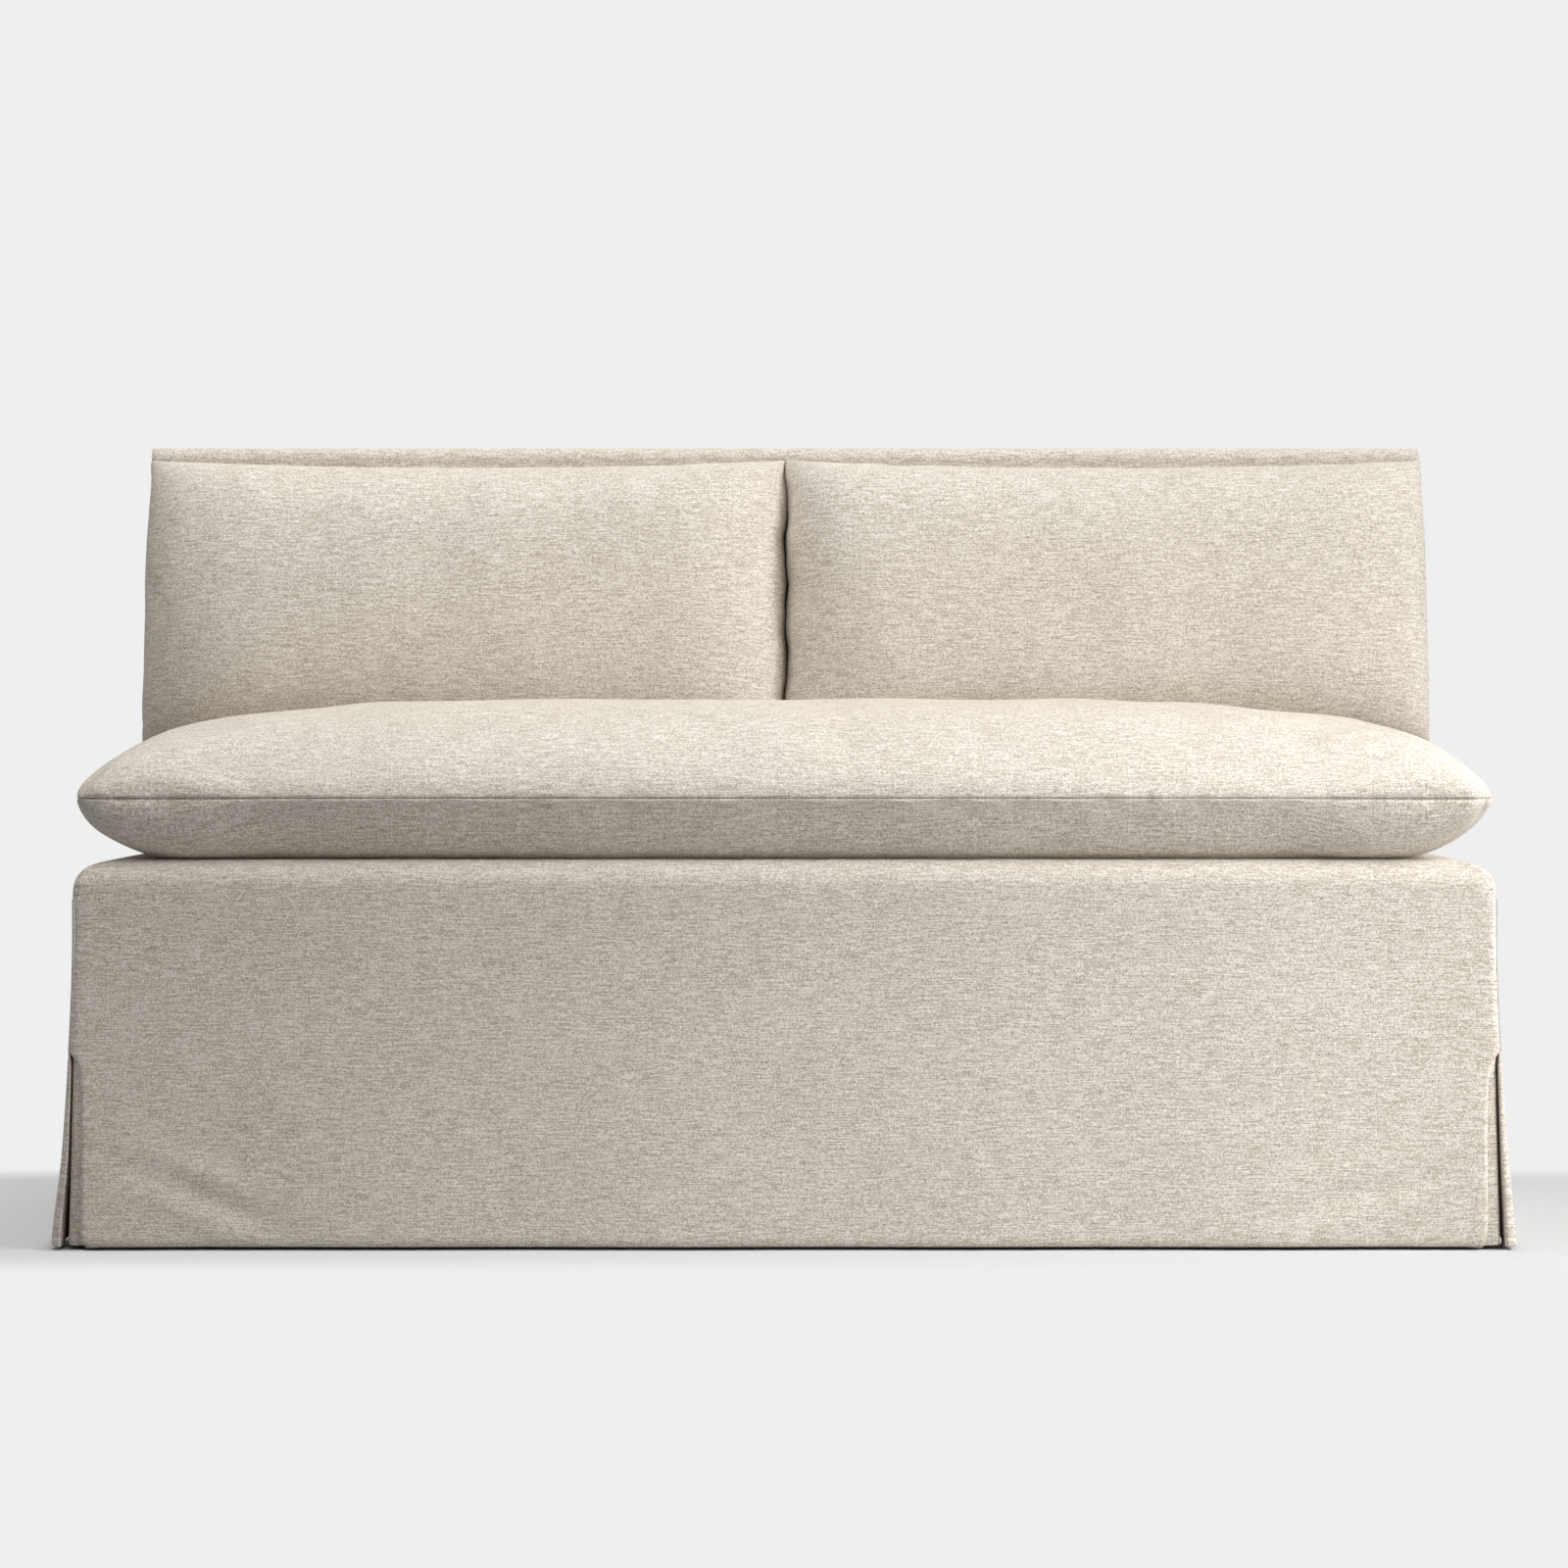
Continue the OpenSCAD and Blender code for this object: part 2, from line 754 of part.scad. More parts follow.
pad_rear = half_d - cover_t;
module side_waddings() {
    color(wadding_white) both_sides()
        block([frame_half_w, frame_front, rail_low], [frame_half_w + wadding_t, pad_rear, roll_z]);
}

module back_waddings() {
    color(wadding_white) both_sides()
        along_x(frame_half_w + wadding_t / 2, wadding_t)
            polygon(concat(back_path(cover_t, roll_z),
                [[pad_rear, overall_h - cover_t], [pad_rear, roll_z]]));
}

module back_pad() {
    back_y = (cover_t + back_pad_t) / cos(back_angle);
    color(foam) along_x(0, 2 * frame_half_w)
        polygon(concat(back_path(cover_t, pad_z),
            [[pad_rear, overall_h - cover_t], [pad_rear, top_rail_top],
                [inside_y(top_rail_top) + back_y, top_rail_top], [inside_y(pad_z) + back_y, pad_z]]));
}

dust_margin = 6;
dust_fit = 1.5;
module leg_cutout(x, y) {
    translate([x - dust_fit, y - dust_fit, rail_low - dust_cover_t - cut])
        cube([leg_w + 2 * dust_fit, leg_w + 2 * dust_fit, dust_cover_t + 2 * cut]);
}

module dust_cover() {
    color(cambric) difference() {
        block([dust_margin - frame_half_w, frame_front + dust_margin, rail_low - dust_cover_t],
            [frame_half_w - dust_margin, frame_rear - dust_margin, rail_low]);
        both_sides() {
            leg_cutout(front_leg_x, inner_front);
            leg_cutout(rear_leg_x, rear_leg_y);
        }
        leg_cutout(-leg_w / 2, -leg_w / 2);
    }
}

// Slipcover. Rows of the hanging panels: down the open pleat, up the wall, over the roll.
pleat_shares = [0, 0.25, 0.5, 0.75, 0.95];
wall_shares = [0, 0.5, 1];
roll_angles = [for (k = [0:6]) 15 * k];
pleat_rows = [for (share = pleat_shares) hem_gap + (pleat_top - hem_gap) * share];
wall_rows = [for (share = wall_shares) pleat_top + (roll_z - pleat_top) * share];
function roll_row(a, inset) = roll_z + (end_roll_h - inset) * sin(a);
function open_share(z) = (pleat_top - z) / (pleat_top - hem_gap);
function fold_x(z) = half_w - cover_t - (pleat_open - cover_t) * open_share(z);

module deck_cover() {
    angles = concat(roll_angles, reversed(roll_angles));
    function row(rear, inset) = [for (j = [0:len(angles) - 1])
        let (z = roll_row(angles[j], inset), x = side_x(z, inset))
        [j < len(roll_angles) ? -x : x, rear ? inside_y(z) : -end_y(z, inset), z]];
    color(oatmeal)
        sheet([row(false, 0), row(true, 0)], [row(false, cover_t), row(true, cover_t)]);
}

panel_columns = 6;
module front_panel() {
    function row(half, y, z) = [for (j = [0:panel_columns])
        [half * (2 * j / panel_columns - 1), y, z]];
    function grid(inset) = concat(
        [for (z = pleat_rows) row(fold_x(z), -end_y(z, inset), z)],
        [for (z = wall_rows) row(side_x(z, inset), -end_y(z, inset), z)],
        [for (a = [for (k = [1:6]) roll_angles[k]])
            let (z = roll_row(a, inset))
            row(side_x(z, inset), -end_y(z, inset), z)]
    );
    color(oatmeal) sheet(grid(0), grid(cover_t));
}

// A side panel's columns: its front fold, the plain wall and its rear fold
module side_panel(side) {
    fold_shares = [1, 1, 0];
    function loft(z) = (pleat_fold_t - cover_t) * hang_share(z);
    function column_y(j, y_end) =
        let (steps = [y_end, y_end - pleat_fold_d / 2, y_end - pleat_fold_d, half_d / 3])
        j < 4 ? -steps[j] : steps[7 - j];
    function fold(j) = let (k = min(j, 7 - j)) k < 3 ? fold_shares[k] : 0;
    function open_row(z, inset) = [for (j = [0:7])
        [side_x(z, inset) - (inset > 0 ? loft(z) * fold(j) : 0), column_y(j, end_y(z, 0)), z]];
    function wall_row(z, inset) = [for (j = [0:7])
        [side_x(z, inset), column_y(j, end_y(z, inset)), z]];
    function grid(inset) = concat(
        [for (z = pleat_rows) open_row(z, inset)],
        [for (z = wall_rows) wall_row(z, inset)]
    );
    color(oatmeal) on_side(side) sheet(grid(0), grid(cover_t));
}

// The rear panel is built like the front one and turned round
module rear_panel() {
    butt_x = half_w - cover_t;
    function row(half, y, z) = [for (j = [0:panel_columns])
        [half * (2 * j / panel_columns - 1), y, z]];
    function grid(inset) = concat(
        [for (z = pleat_rows) row(fold_x(z), -end_y(z, inset), z)],
        [for (z = [wall_rows[0], wall_rows[1], roll_z - cover_t])
            row(side_x(z, inset), inset - half_d - hang(z, end_flare), z)],
        [for (z = [roll_z, overall_h - cover_t]) row(butt_x, inset - half_d, z)]
    );
    color(oatmeal) mirror([0, 1, 0]) sheet(grid(0), grid(cover_t));
}

insert_shares = [0, 0.3, 0.65, 1];
insert_arc = 4;
module pleat_insert() {
    start_z = hem_gap + insert_lift;
    function path(z, inset) =
        let (
            fall = hang(z, insert_flare) - cover_t - soft_gap,
            x = half_w + fall,
            y = half_d + fall
        )
        concat(
            [[x - insert_reach, inset - y, z]],
            [for (k = [0:insert_arc])
                let (a = 90 * k / insert_arc - 90)
                [x - insert_r + (insert_r - inset) * cos(a),
                    insert_r - y + (insert_r - inset) * sin(a), z]],
            [[x - inset, insert_reach - y, z]]
        );
    function grid(inset) = [for (share = insert_shares)
        path(start_z + (rail_low - start_z) * share, inset)];
    sheet(grid(0), grid(cover_t));
}

module front_pleat_inserts() {
    color(oatmeal) both_sides() pleat_insert();
}

module rear_pleat_inserts() {
    color(oatmeal) both_sides() mirror([0, 1, 0]) pleat_insert();
}

module inside_back_cover() {
    color(oatmeal) along_x(0, 2 * (half_w - cover_t))
        polygon(concat(back_path(0, pad_z), [[half_d, overall_h], [half_d, overall_h - cover_t]],
            reversed(back_path(cover_t, pad_z))));
}

module back_gussets() {
    color(oatmeal) both_sides()
        along_x(half_w - cover_t / 2, cover_t)
            polygon(concat(back_path(0, roll_z), [[half_d, overall_h], [half_d, roll_z]]));
}

// Seat cushion: knife edges, a full crown, and an underside that lies flat on the deck
seam_z = deck_h + seam_h;
seat_w = body_w - 2 * seat_margin;
seat_d = inside_y(seam_z) - seat_rear_gap + half_d;
seat_mid_y = seat_d / 2 - half_d;
cover_edge = 6;
fine_cols = 20;
fine_rows = 12;
coarse_cols = 10;
coarse_rows = 6;

function seat_swell(end_gap, edge_share, rear) =
    swell(end_gap, seat_end_reach, blunt_run, blunt_rise)
    * swell(edge_share, 1, rear ? soft_run : blunt_run, rear ? soft_rise : blunt_rise);

function seat_point(u, v, edge, inset, top) =
    let (
        x_half = seat_w / 2 - edge - seat_draw * (1 - v * v),
        y_half = seat_d / 2 - edge - seat_draw * (1 - u * u),
        rise = (seat_crown - inset) * seat_swell((1 - abs(u)) * x_half, 1 - abs(v), v > 0)
    )
    [u * x_half, seat_mid_y + v * y_half,
        top ? seam_z + rise : max(seam_z - rise, deck_h + soft_gap + inset)];

module seat_form(edge, inset, cols, rows) {
    function grid(top) = [for (v = edge_shares(rows))
        [for (u = edge_shares(cols)) seat_point(u, v, edge, inset, top)]];
    pillow(grid(true), grid(false));
}

module seat_cushion_cover() {
    color(oatmeal) difference() {
        seat_form(0, 0, fine_cols, fine_rows);
        seat_form(cover_edge, cover_t, coarse_cols, coarse_rows);
    }
}

module seat_cushion_core() {
    color(foam)
        seat_form(cover_edge + soft_gap, cover_t + soft_gap, coarse_cols, coarse_rows);
}

// A closed zip along a seam, with its slider at one end
module zip(length) {
    slider_l = zip_w * 2.5;
    translate([-length / 2, 0, -zip_t / 4]) cube([length, zip_w, zip_t / 2]);
    translate([length / 2 - slider_l, 0, -zip_t / 2]) cube([slider_l, zip_w, zip_t]);
}

module seat_cushion_zip() {
    end_point = seat_point(zip_l / seat_w, 1, 0, 0, true);
    color(oatmeal) translate([0, end_point[1] + soft_gap, seam_z]) zip(zip_l);
}

// Back cushions: knife edges, a crowned front face, and a rear face flattened by the back
back_w = half_w - back_margin - back_gap / 2;
back_mid_x = back_gap / 2 + back_w / 2;
lean = back_angle + extra_lean;

function back_point(u, v, edge, inset, front) =
    let (
        x_half = back_w / 2 - edge - back_side_draw * (1 - v * v),
        z_half = back_h / 2 - edge - back_draw * (1 - u * u),
        rise = (back_crown - inset)
            * swell((1 - abs(u)) * x_half, back_end_reach, blunt_run, blunt_rise)
            * swell(1 - abs(v), 1, blunt_run, blunt_rise),
        z = v * z_half
    )
    [u * x_half, front ? -rise : min(rise, back_rear - inset - z * tan(extra_lean)), z];

module back_form(edge, inset, cols, rows) {
    function grid(front) = [for (v = edge_shares(rows))
        [for (u = edge_shares(cols)) back_point(u, v, edge, inset, front)]];
    pillow(grid(true), grid(false));
}

// The cushion's middle stands where its rear face meets the inside back and its lower edge
// meets the seat cushion. Each depends a little on the other, so both are found twice over.
function seat_top(x, y) =
    seam_z + seat_crown * seat_swell(seat_w / 2 - abs(x),
        max(0, 1 - abs(y - seat_mid_y) / (seat_d / 2)), y > seat_mid_y);
zip_edge_z = -back_point(zip_l / back_w, -1, 0, 0, true)[2] + soft_gap;
low_points = concat(
    [for (v = edge_shares(24)) if (v < 0)
        each [for (u = edge_shares(16)) back_point(u, v, 0, 0, true)]],
    [for (x = [-zip_l / 2, 0, zip_l / 2], y = [-zip_t / 2, zip_t / 2]) [x, y, -zip_edge_z - zip_w]]
);
function back_y_at(z) =
    inside_y(z - back_rear * sin(lean)) - soft_gap / cos(back_angle) - back_rear * cos(lean);
function back_z_at(y) = soft_gap + max([for (p = low_points)
    seat_top(back_mid_x + p[0], y + p[1] * cos(lean) + p[2] * sin(lean))
        + p[1] * sin(lean) - p[2] * cos(lean)]);
back_z_near = back_z_at(back_y_at(seam_z + back_h / 2));
back_z = back_z_at(back_y_at(back_z_near));
back_y = back_y_at(back_z);

module at_back_cushion(side) {
    on_side(side)
        translate([back_mid_x, back_y, back_z]) rotate([-lean, 0, 0]) children();
}

module back_cushion_cover(side) {
    color(oatmeal) at_back_cushion(side) difference() {
        back_form(0, 0, fine_cols - 4, fine_rows);
        back_form(cover_edge, cover_t, coarse_cols, coarse_rows);
    }
}

module back_cushion_fill(side) {
    color(wadding_white) at_back_cushion(side)
        back_form(cover_edge + soft_gap, cover_t + soft_gap, coarse_cols, coarse_rows);
}

module back_cushion_zip(side) {
    color(oatmeal) at_back_cushion(side)
        translate([0, 0, -zip_edge_z]) rotate([-90, 0, 0]) zip(zip_l);
}

front_rail();
rear_rail();
side_rail(-1);  // side_rail_left
side_rail(1);  // side_rail_right
centre_rail();
corner_blocks();
leg_front(-1);  // leg_front_left
leg_front(1);  // leg_front_right
leg_rear(-1);  // leg_rear_left
leg_rear(1);  // leg_rear_right
leg_centre();
leg_glides();
leg_bolts();
leg_nuts();
frame_screws();
back_post(-1);  // back_post_left
back_post(1);  // back_post_right
back_post_centre();
back_top_rail();
back_lower_rail();
back_bolts();
back_nuts();
back_webbing();
outside_back_board();
seat_spring(1);  // seat_spring_1
seat_spring(2);  // seat_spring_2
seat_spring(3);  // seat_spring_3
seat_spring(4);  // seat_spring_4
seat_spring(5);  // seat_spring_5
seat_spring(6);  // seat_spring_6
seat_spring(7);  // seat_spring_7
seat_spring(8);  // seat_spring_8
seat_spring(9);  // seat_spring_9
seat_spring(10);  // seat_spring_10
spring_clips();
insulator_sheet();
deck_pad();
front_wadding();
side_waddings();
back_waddings();
back_pad();
dust_cover();
deck_cover();
front_panel();
side_panel(-1);  // side_panel_left
side_panel(1);  // side_panel_right
rear_panel();
front_pleat_inserts();
rear_pleat_inserts();
inside_back_cover();
back_gussets();
seat_cushion_cover();
seat_cushion_core();
seat_cushion_zip();
back_cushion_cover(-1);  // back_cushion_cover_left
back_cushion_fill(-1);  // back_cushion_fill_left
back_cushion_zip(-1);  // back_cushion_zip_left
back_cushion_cover(1);  // back_cushion_cover_right
back_cushion_fill(1);  // back_cushion_fill_right
back_cushion_zip(1);  // back_cushion_zip_right
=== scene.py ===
import json

import bpy
import numpy as np
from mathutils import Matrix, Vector


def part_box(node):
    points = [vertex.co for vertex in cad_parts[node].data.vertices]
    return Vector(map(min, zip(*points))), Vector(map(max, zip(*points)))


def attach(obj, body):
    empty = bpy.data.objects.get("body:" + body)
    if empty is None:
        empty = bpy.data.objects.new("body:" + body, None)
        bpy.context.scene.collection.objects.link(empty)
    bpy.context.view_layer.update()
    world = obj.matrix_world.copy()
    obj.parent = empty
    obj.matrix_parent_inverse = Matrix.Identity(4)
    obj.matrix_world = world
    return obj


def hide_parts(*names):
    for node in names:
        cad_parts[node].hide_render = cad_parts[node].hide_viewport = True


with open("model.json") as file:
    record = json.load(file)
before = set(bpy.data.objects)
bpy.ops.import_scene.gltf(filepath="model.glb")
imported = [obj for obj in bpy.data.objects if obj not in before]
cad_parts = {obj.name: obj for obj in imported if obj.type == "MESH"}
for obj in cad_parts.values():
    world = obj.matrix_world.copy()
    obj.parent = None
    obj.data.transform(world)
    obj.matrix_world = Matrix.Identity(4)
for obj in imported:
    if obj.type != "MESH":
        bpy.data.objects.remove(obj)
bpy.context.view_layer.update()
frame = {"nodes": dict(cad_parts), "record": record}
mm = 0.001
pi = np.pi

# sizes of the covered body; its hem, its top roll and its pleats differ from the solids' by a few millimetres
body = {
    "halfW": 762 * mm,
    "halfD": 345 * mm,
    "height": 893 * mm,
    "deck": 416 * mm,
    "seatRoom": 560 * mm,  # from the front of the deck to the foot of the inside back
    "backLean": 45 * mm,  # how far the inside back reclines over its height
    "cloth": 2 * mm,
    "hemGap": 3.6 * mm,
    "skirt": 330 * mm,  # height where the skirt leaves the padded frame
    "sideFlare": 20 * mm,
    "endFlare": 12 * mm,
    "drapePower": 1.6,
    "frontRoll": 28 * mm,
    "endRollW": 63 * mm,
    "endRollH": 42 * mm,
    "backRoll": 12 * mm,
    "backNose": 2.6 * mm,  # how far the top roll stands proud of the inside back
    "pleatTop": 211.5 * mm,
    "corner": 9 * mm,  # radius of the upright corners
}
rollZ = body["deck"] - body["endRollH"]
leanAngle = np.arctan(body["backLean"] / (body["height"] - body["deck"]))


def smooth(a, low, high):
    # eased step: 0 below low, 1 above high, 3t2 - 2t3 between
    t = np.clip((a - low) / (high - low), 0, 1)
    return t * t * (3 - 2 * t)


def hangShare(z):
    # 0 at the skirt line, 1 at the hem, growing with a power of the drop
    drop = np.clip((body["skirt"] - z) / (body["skirt"] - body["hemGap"]), 0, 1)
    return drop ** body["drapePower"]


def rolled(z, half, w, h, power):
    # half extent of a wall whose top is rolled over by a quarter of a w by h superellipse
    up = np.clip((z - body["deck"] + h) / h, 0, 1)
    return half - w + w * (1 - up ** power) ** (1 / power)


def sideX(z):
    return rolled(z, body["halfW"], body["endRollW"], body["endRollH"], 3) + body["sideFlare"] * hangShare(z)


def endY(z):
    return rolled(z, body["halfD"], body["frontRoll"], body["frontRoll"], 2) + body["endFlare"] * hangShare(z)


def insideY(z):
    # the reclining inside back
    up = (z - body["deck"]) / (body["height"] - body["deck"])
    return -body["halfD"] + body["seatRoom"] + body["backLean"] * up


def ripple(a, b, size, seed, terms=7):
    # soft random waves: a mean of sines in random directions, with wavelengths around size
    dice = np.random.default_rng(seed)
    turns, scales = dice.uniform(0, pi, terms), dice.uniform(0.75, 1.5, terms)
    phases = dice.uniform(0, 2 * pi, terms)
    total = 0
    for turn, scale, phase in zip(turns, scales, phases):
        along = a * np.cos(turn) + b * np.sin(turn)
        total = total + np.sin(2 * pi * along / (size * scale) + phase)
    return total / np.sqrt(terms / 2)


def linear(hexColour):
    # an sRGB hex value as linear RGBA
    parts = [int(hexColour[k:k + 2], 16) / 255 for k in (1, 3, 5)]
    return [c / 12.92 if c <= 0.04045 else ((c + 0.055) / 1.055) ** 2.4 for c in parts] + [1]


def addNode(tree, kind, links=None, values=None, stops=(), **settings):
    # one node with its settings, socket values and incoming links, and a colour ramp's stops
    node = tree.nodes.new(kind)
    for key, value in settings.items():
        setattr(node, key, value)
    for key, value in (values or {}).items():
        node.inputs[key].default_value = value
    for key, output in (links or {}).items():
        tree.links.new(output, node.inputs[key])
    while stops and len(node.color_ramp.elements) < len(stops):
        node.color_ramp.elements.new(0.5)
    for number, (position, colour) in enumerate(stops):
        element = node.color_ramp.elements[number]
        element.position, element.color = position, linear(colour)
    return node


def newMaterial(name):
    material = bpy.data.materials.new(name)
    material.use_nodes = True
    material.node_tree.nodes.clear()
    return material, material.node_tree


def mixed(tree, parts):
    # sum of texture outputs about their middle, each by its weight, around one half
    total = None
    for output, weight in parts:
        links = {0: output} if total is None else {0: output, 2: total}
        values = {1: weight} if total is not None else {1: weight, 2: 0.5 - sum(w for _, w in parts) / 2}
        total = addNode(tree, "ShaderNodeMath", links, values, operation="MULTIPLY_ADD").outputs[0]
    return total


def stretched(tree, coordinates, sizes, detail=2.0, seed=0.0):
    # noise whose features are sizes millimetres long in each direction
    mapping = addNode(tree, "ShaderNodeMapping", {"Vector": coordinates}, {
        "Scale": [1 / (s * mm) for s in sizes],
        "Location": [seed, seed * 1.7, seed * 0.6],
    })
    noise = addNode(tree, "ShaderNodeTexNoise", {"Vector": mapping.outputs[0]},
                    {"Scale": 1.0, "Detail": detail, "Roughness": 0.6})
    return noise.outputs["Fac"]


# the slub cloth's sizes in millimetres; real yarn is nearer 0.7, too fine to show in the picture, so it is
# drawn at 1.3 to 1.5
slub = {
    "warp": 1.3, "weft": 1.3, "slubLength": 24, "slubHeight": 1.5, "fine": 1.5,
    "dark": "#a59b8f", "ground": "#c6bdb0", "light": "#ddd6cc", "bright": "#ece7df",
    # seam is the colour of the painted shade in the valley along each seam
    "seam": "#7a736a",
}


def slubLinen():
    # linen-blend upholstery cloth, railroaded: pale slubs lie along the width over a taupe ground
    material, tree = newMaterial("WovenSlubLinen")
    weave = addNode(tree, "ShaderNodeUVMap", uv_map="Weave").outputs[0]
    slubs = stretched(tree, weave, (slub["slubLength"], slub["slubHeight"], 1000), 2, 3.1)
    threads = stretched(tree, weave, (slub["fine"] * 4, slub["weft"], 1000), 2, 11.7)
    warps = stretched(tree, weave, (slub["warp"], slub["fine"] * 2, 1000), 2, 23.9)
    knots = stretched(tree, weave, (slub["fine"], slub["fine"], 1000), 1, 37.3)
    cloud = stretched(tree, weave, (140, 60, 1000), 2, 51.2)
    seam = addNode(tree, "ShaderNodeAttribute", attribute_name="Seam").outputs["Fac"]
    shade = mixed(tree, [(slubs, 0.95), (threads, 0.75), (warps, 0.9), (knots, 0.9), (cloud, 0.1)])
    stops = [(0.18, slub["dark"]), (0.44, slub["ground"]), (0.62, slub["light"]), (0.85, slub["bright"])]
    colour = addNode(tree, "ShaderNodeValToRGB", {"Fac": shade}, stops=stops).outputs["Color"]
    # painted shade: the cloth is multiplied towards the seam colour by the mask's share along the seams
    colour = addNode(tree, "ShaderNodeMix", {"Factor": seam, 6: colour}, {7: linear(slub["seam"])},
                     data_type="RGBA", blend_type="MULTIPLY").outputs[2]
    bump = addNode(tree, "ShaderNodeBump", {"Height": shade}, {"Strength": 0.5, "Distance": 0.6 * mm})
    shader = addNode(tree, "ShaderNodeBsdfPrincipled", {"Base Color": colour, "Normal": bump.outputs[0]}, {
        "Roughness": 0.95, "IOR": 1.45, "Specular IOR Level": 0.2,
        "Sheen Weight": 0.12, "Sheen Roughness": 0.5, "Sheen Tint": linear("#fff4e4"),
    })
    addNode(tree, "ShaderNodeOutputMaterial", {"Surface": shader.outputs["BSDF"]})
    return material


def plainFinish(tree, shade, stops, roughness, height, metallic=0.0):
    # a shader whose colour and fine relief follow one pattern
    colour = addNode(tree, "ShaderNodeValToRGB", {"Fac": shade}, stops=stops).outputs["Color"]
    bump = addNode(tree, "ShaderNodeBump", {"Height": shade}, {"Strength": 0.4, "Distance": height * mm})
    shader = addNode(tree, "ShaderNodeBsdfPrincipled", {"Base Color": colour, "Normal": bump.outputs[0]},
                     {"Roughness": roughness, "Metallic": metallic})
    addNode(tree, "ShaderNodeOutputMaterial", {"Surface": shader.outputs["BSDF"]})


def planedBeech(axis):
    # planed beech: growth bands 12 mm wide and short dark ray flecks, both drawn out along the member
    material, tree = newMaterial("PlanedBeechAlong" + "XYZ"[axis])
    spot = addNode(tree, "ShaderNodeTexCoord").outputs["Object"]
    bandSize, fleckSize = [12, 12, 12], [1.2, 1.2, 1.2]
    bandSize[axis], fleckSize[axis] = 300, 10
    bands = stretched(tree, spot, bandSize, 3, 4.2)
    flecks = stretched(tree, spot, fleckSize, 1, 8.8)
    shade = mixed(tree, [(bands, 1.1), (flecks, 0.45)])
    plainFinish(tree, shade, [(0.25, "#9a7449"), (0.5, "#b98f5e"), (0.78, "#cfab7c")], 0.55, 0.15)
    return material


def wovenFinish(name, pitch, stops, roughness, height):
    # a plain weave: bands across each direction at the yarn pitch, roughened by the yarns' own unevenness
    material, tree = newMaterial(name)
    spot = addNode(tree, "ShaderNodeTexCoord").outputs["Object"]
    parts = [(stretched(tree, spot, [pitch * 1.5] * 3, 2, 6.1), 0.8)]
    for direction in "XYZ":
        band = addNode(tree, "ShaderNodeTexWave", {"Vector": spot},
                       {"Scale": pi / 10 / (pitch * mm), "Distortion": 0.6}, bands_direction=direction)
        parts.append((band.outputs["Fac"], 0.25))
    plainFinish(tree, mixed(tree, parts), stops, roughness, height)
    return material


def mottledFinish(name, grain, stops, roughness, height, metallic=0.0):
    # a fine speckle of one size over a wider cloud
    material, tree = newMaterial(name)
    spot = addNode(tree, "ShaderNodeTexCoord").outputs["Object"]
    shade = mixed(tree, [(stretched(tree, spot, [grain] * 3, 2, 2.4), 0.9),
                         (stretched(tree, spot, [grain * 12] * 3, 2, 7.7), 0.5)])
    plainFinish(tree, shade, stops, roughness, height, metallic)
    return material


linenCloth = slubLinen()
beech = [planedBeech(axis) for axis in range(3)]
hiddenFinishes = {
    # oil-tempered spring wire: dark, faintly streaked and half shiny
    "spring_steel": mottledFinish("OilTemperedSteelWire", 3, [(0.3, "#55585a"), (0.7, "#7c7f82")], 0.4, 0.05, 1.0),
    # zinc-plated steel: pale, cool and softly spangled
    "zinc_steel": mottledFinish("ZincPlatedSteel", 2, [(0.3, "#8f9499"), (0.7, "#aeb3b8")], 0.38, 0.03, 1.0),
    # polyurethane foam: matt cream with open cells, drawn at 2 mm so that they show
    "foam": mottledFinish("PolyurethaneFoam", 2, [(0.3, "#d9cfae"), (0.65, "#ece5cd")], 0.95, 0.5),
    # polyester wadding: white and fibrous, with soft tufts
    "wadding": mottledFinish("PolyesterWadding", 5, [(0.3, "#e2dfd6"), (0.65, "#f4f2ed")], 1.0, 1.2),
    # jute burlap: coarse open plain weave of hairy brown yarn, 2.5 mm apart
    "burlap": wovenFinish("JuteBurlap", 2.5, [(0.3, "#7d6644"), (0.55, "#a98f68"), (0.8, "#c4ab84")], 0.95, 0.8),
    # hardboard: pressed brown fibre, even and matt
    "fibreboard": mottledFinish("PressedFibreboard", 3, [(0.3, "#77593b"), (0.7, "#9a7b58")], 0.8, 0.1),
    # black cambric: thin spun cloth with a faint dimpled grid at 1.5 mm
    "cambric": wovenFinish("SpunCambric", 1.5, [(0.3, "#232120"), (0.75, "#3a3735")], 0.9, 0.2),
    # polyester zip tape: tight beige weave at 1.2 mm with a slight gloss
    "zip_tape": wovenFinish("PolyesterZipTape", 1.2, [(0.3, "#b0a594"), (0.75, "#d0c6b6")], 0.7, 0.2),
}
for part in frame["record"]["subparts"]:
    node, slotName = frame["nodes"][part["node"]], part["material_slot"]
    lowest, highest = (np.array(corner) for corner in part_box(part["node"]))
    grainAxis = 2 if part["node"] == "corner_blocks" else int(np.argmax(highest - lowest))
    finish = beech[grainAxis] if slotName == "frame_hardwood" else hiddenFinishes.get(slotName)
    if finish:
        for slot in node.material_slots:
            slot.material = finish
print("materials ready")


def surfaceMesh(name, points, faces, uvs):
    # a mesh from an array of points, an array of quads, and one UV pair in metres for each quad corner
    mesh = bpy.data.meshes.new(name)
    mesh.vertices.add(len(points))
    mesh.vertices.foreach_set("co", np.ascontiguousarray(points, dtype=np.float32).ravel())
    mesh.loops.add(faces.size)
    mesh.loops.foreach_set("vertex_index", faces.astype(np.int32).ravel())
    mesh.polygons.add(len(faces))
    mesh.polygons.foreach_set("loop_start", np.arange(0, faces.size, 4, dtype=np.int32))
    mesh.update(calc_edges=True)
    layer = mesh.uv_layers.new(name="Weave")
    layer.data.foreach_set("uv", np.ascontiguousarray(uvs, dtype=np.float32).ravel())
    mesh.polygons.foreach_set("use_smooth", np.ones(len(faces), dtype=bool))
    mesh.validate()
    mesh.update()
    return mesh


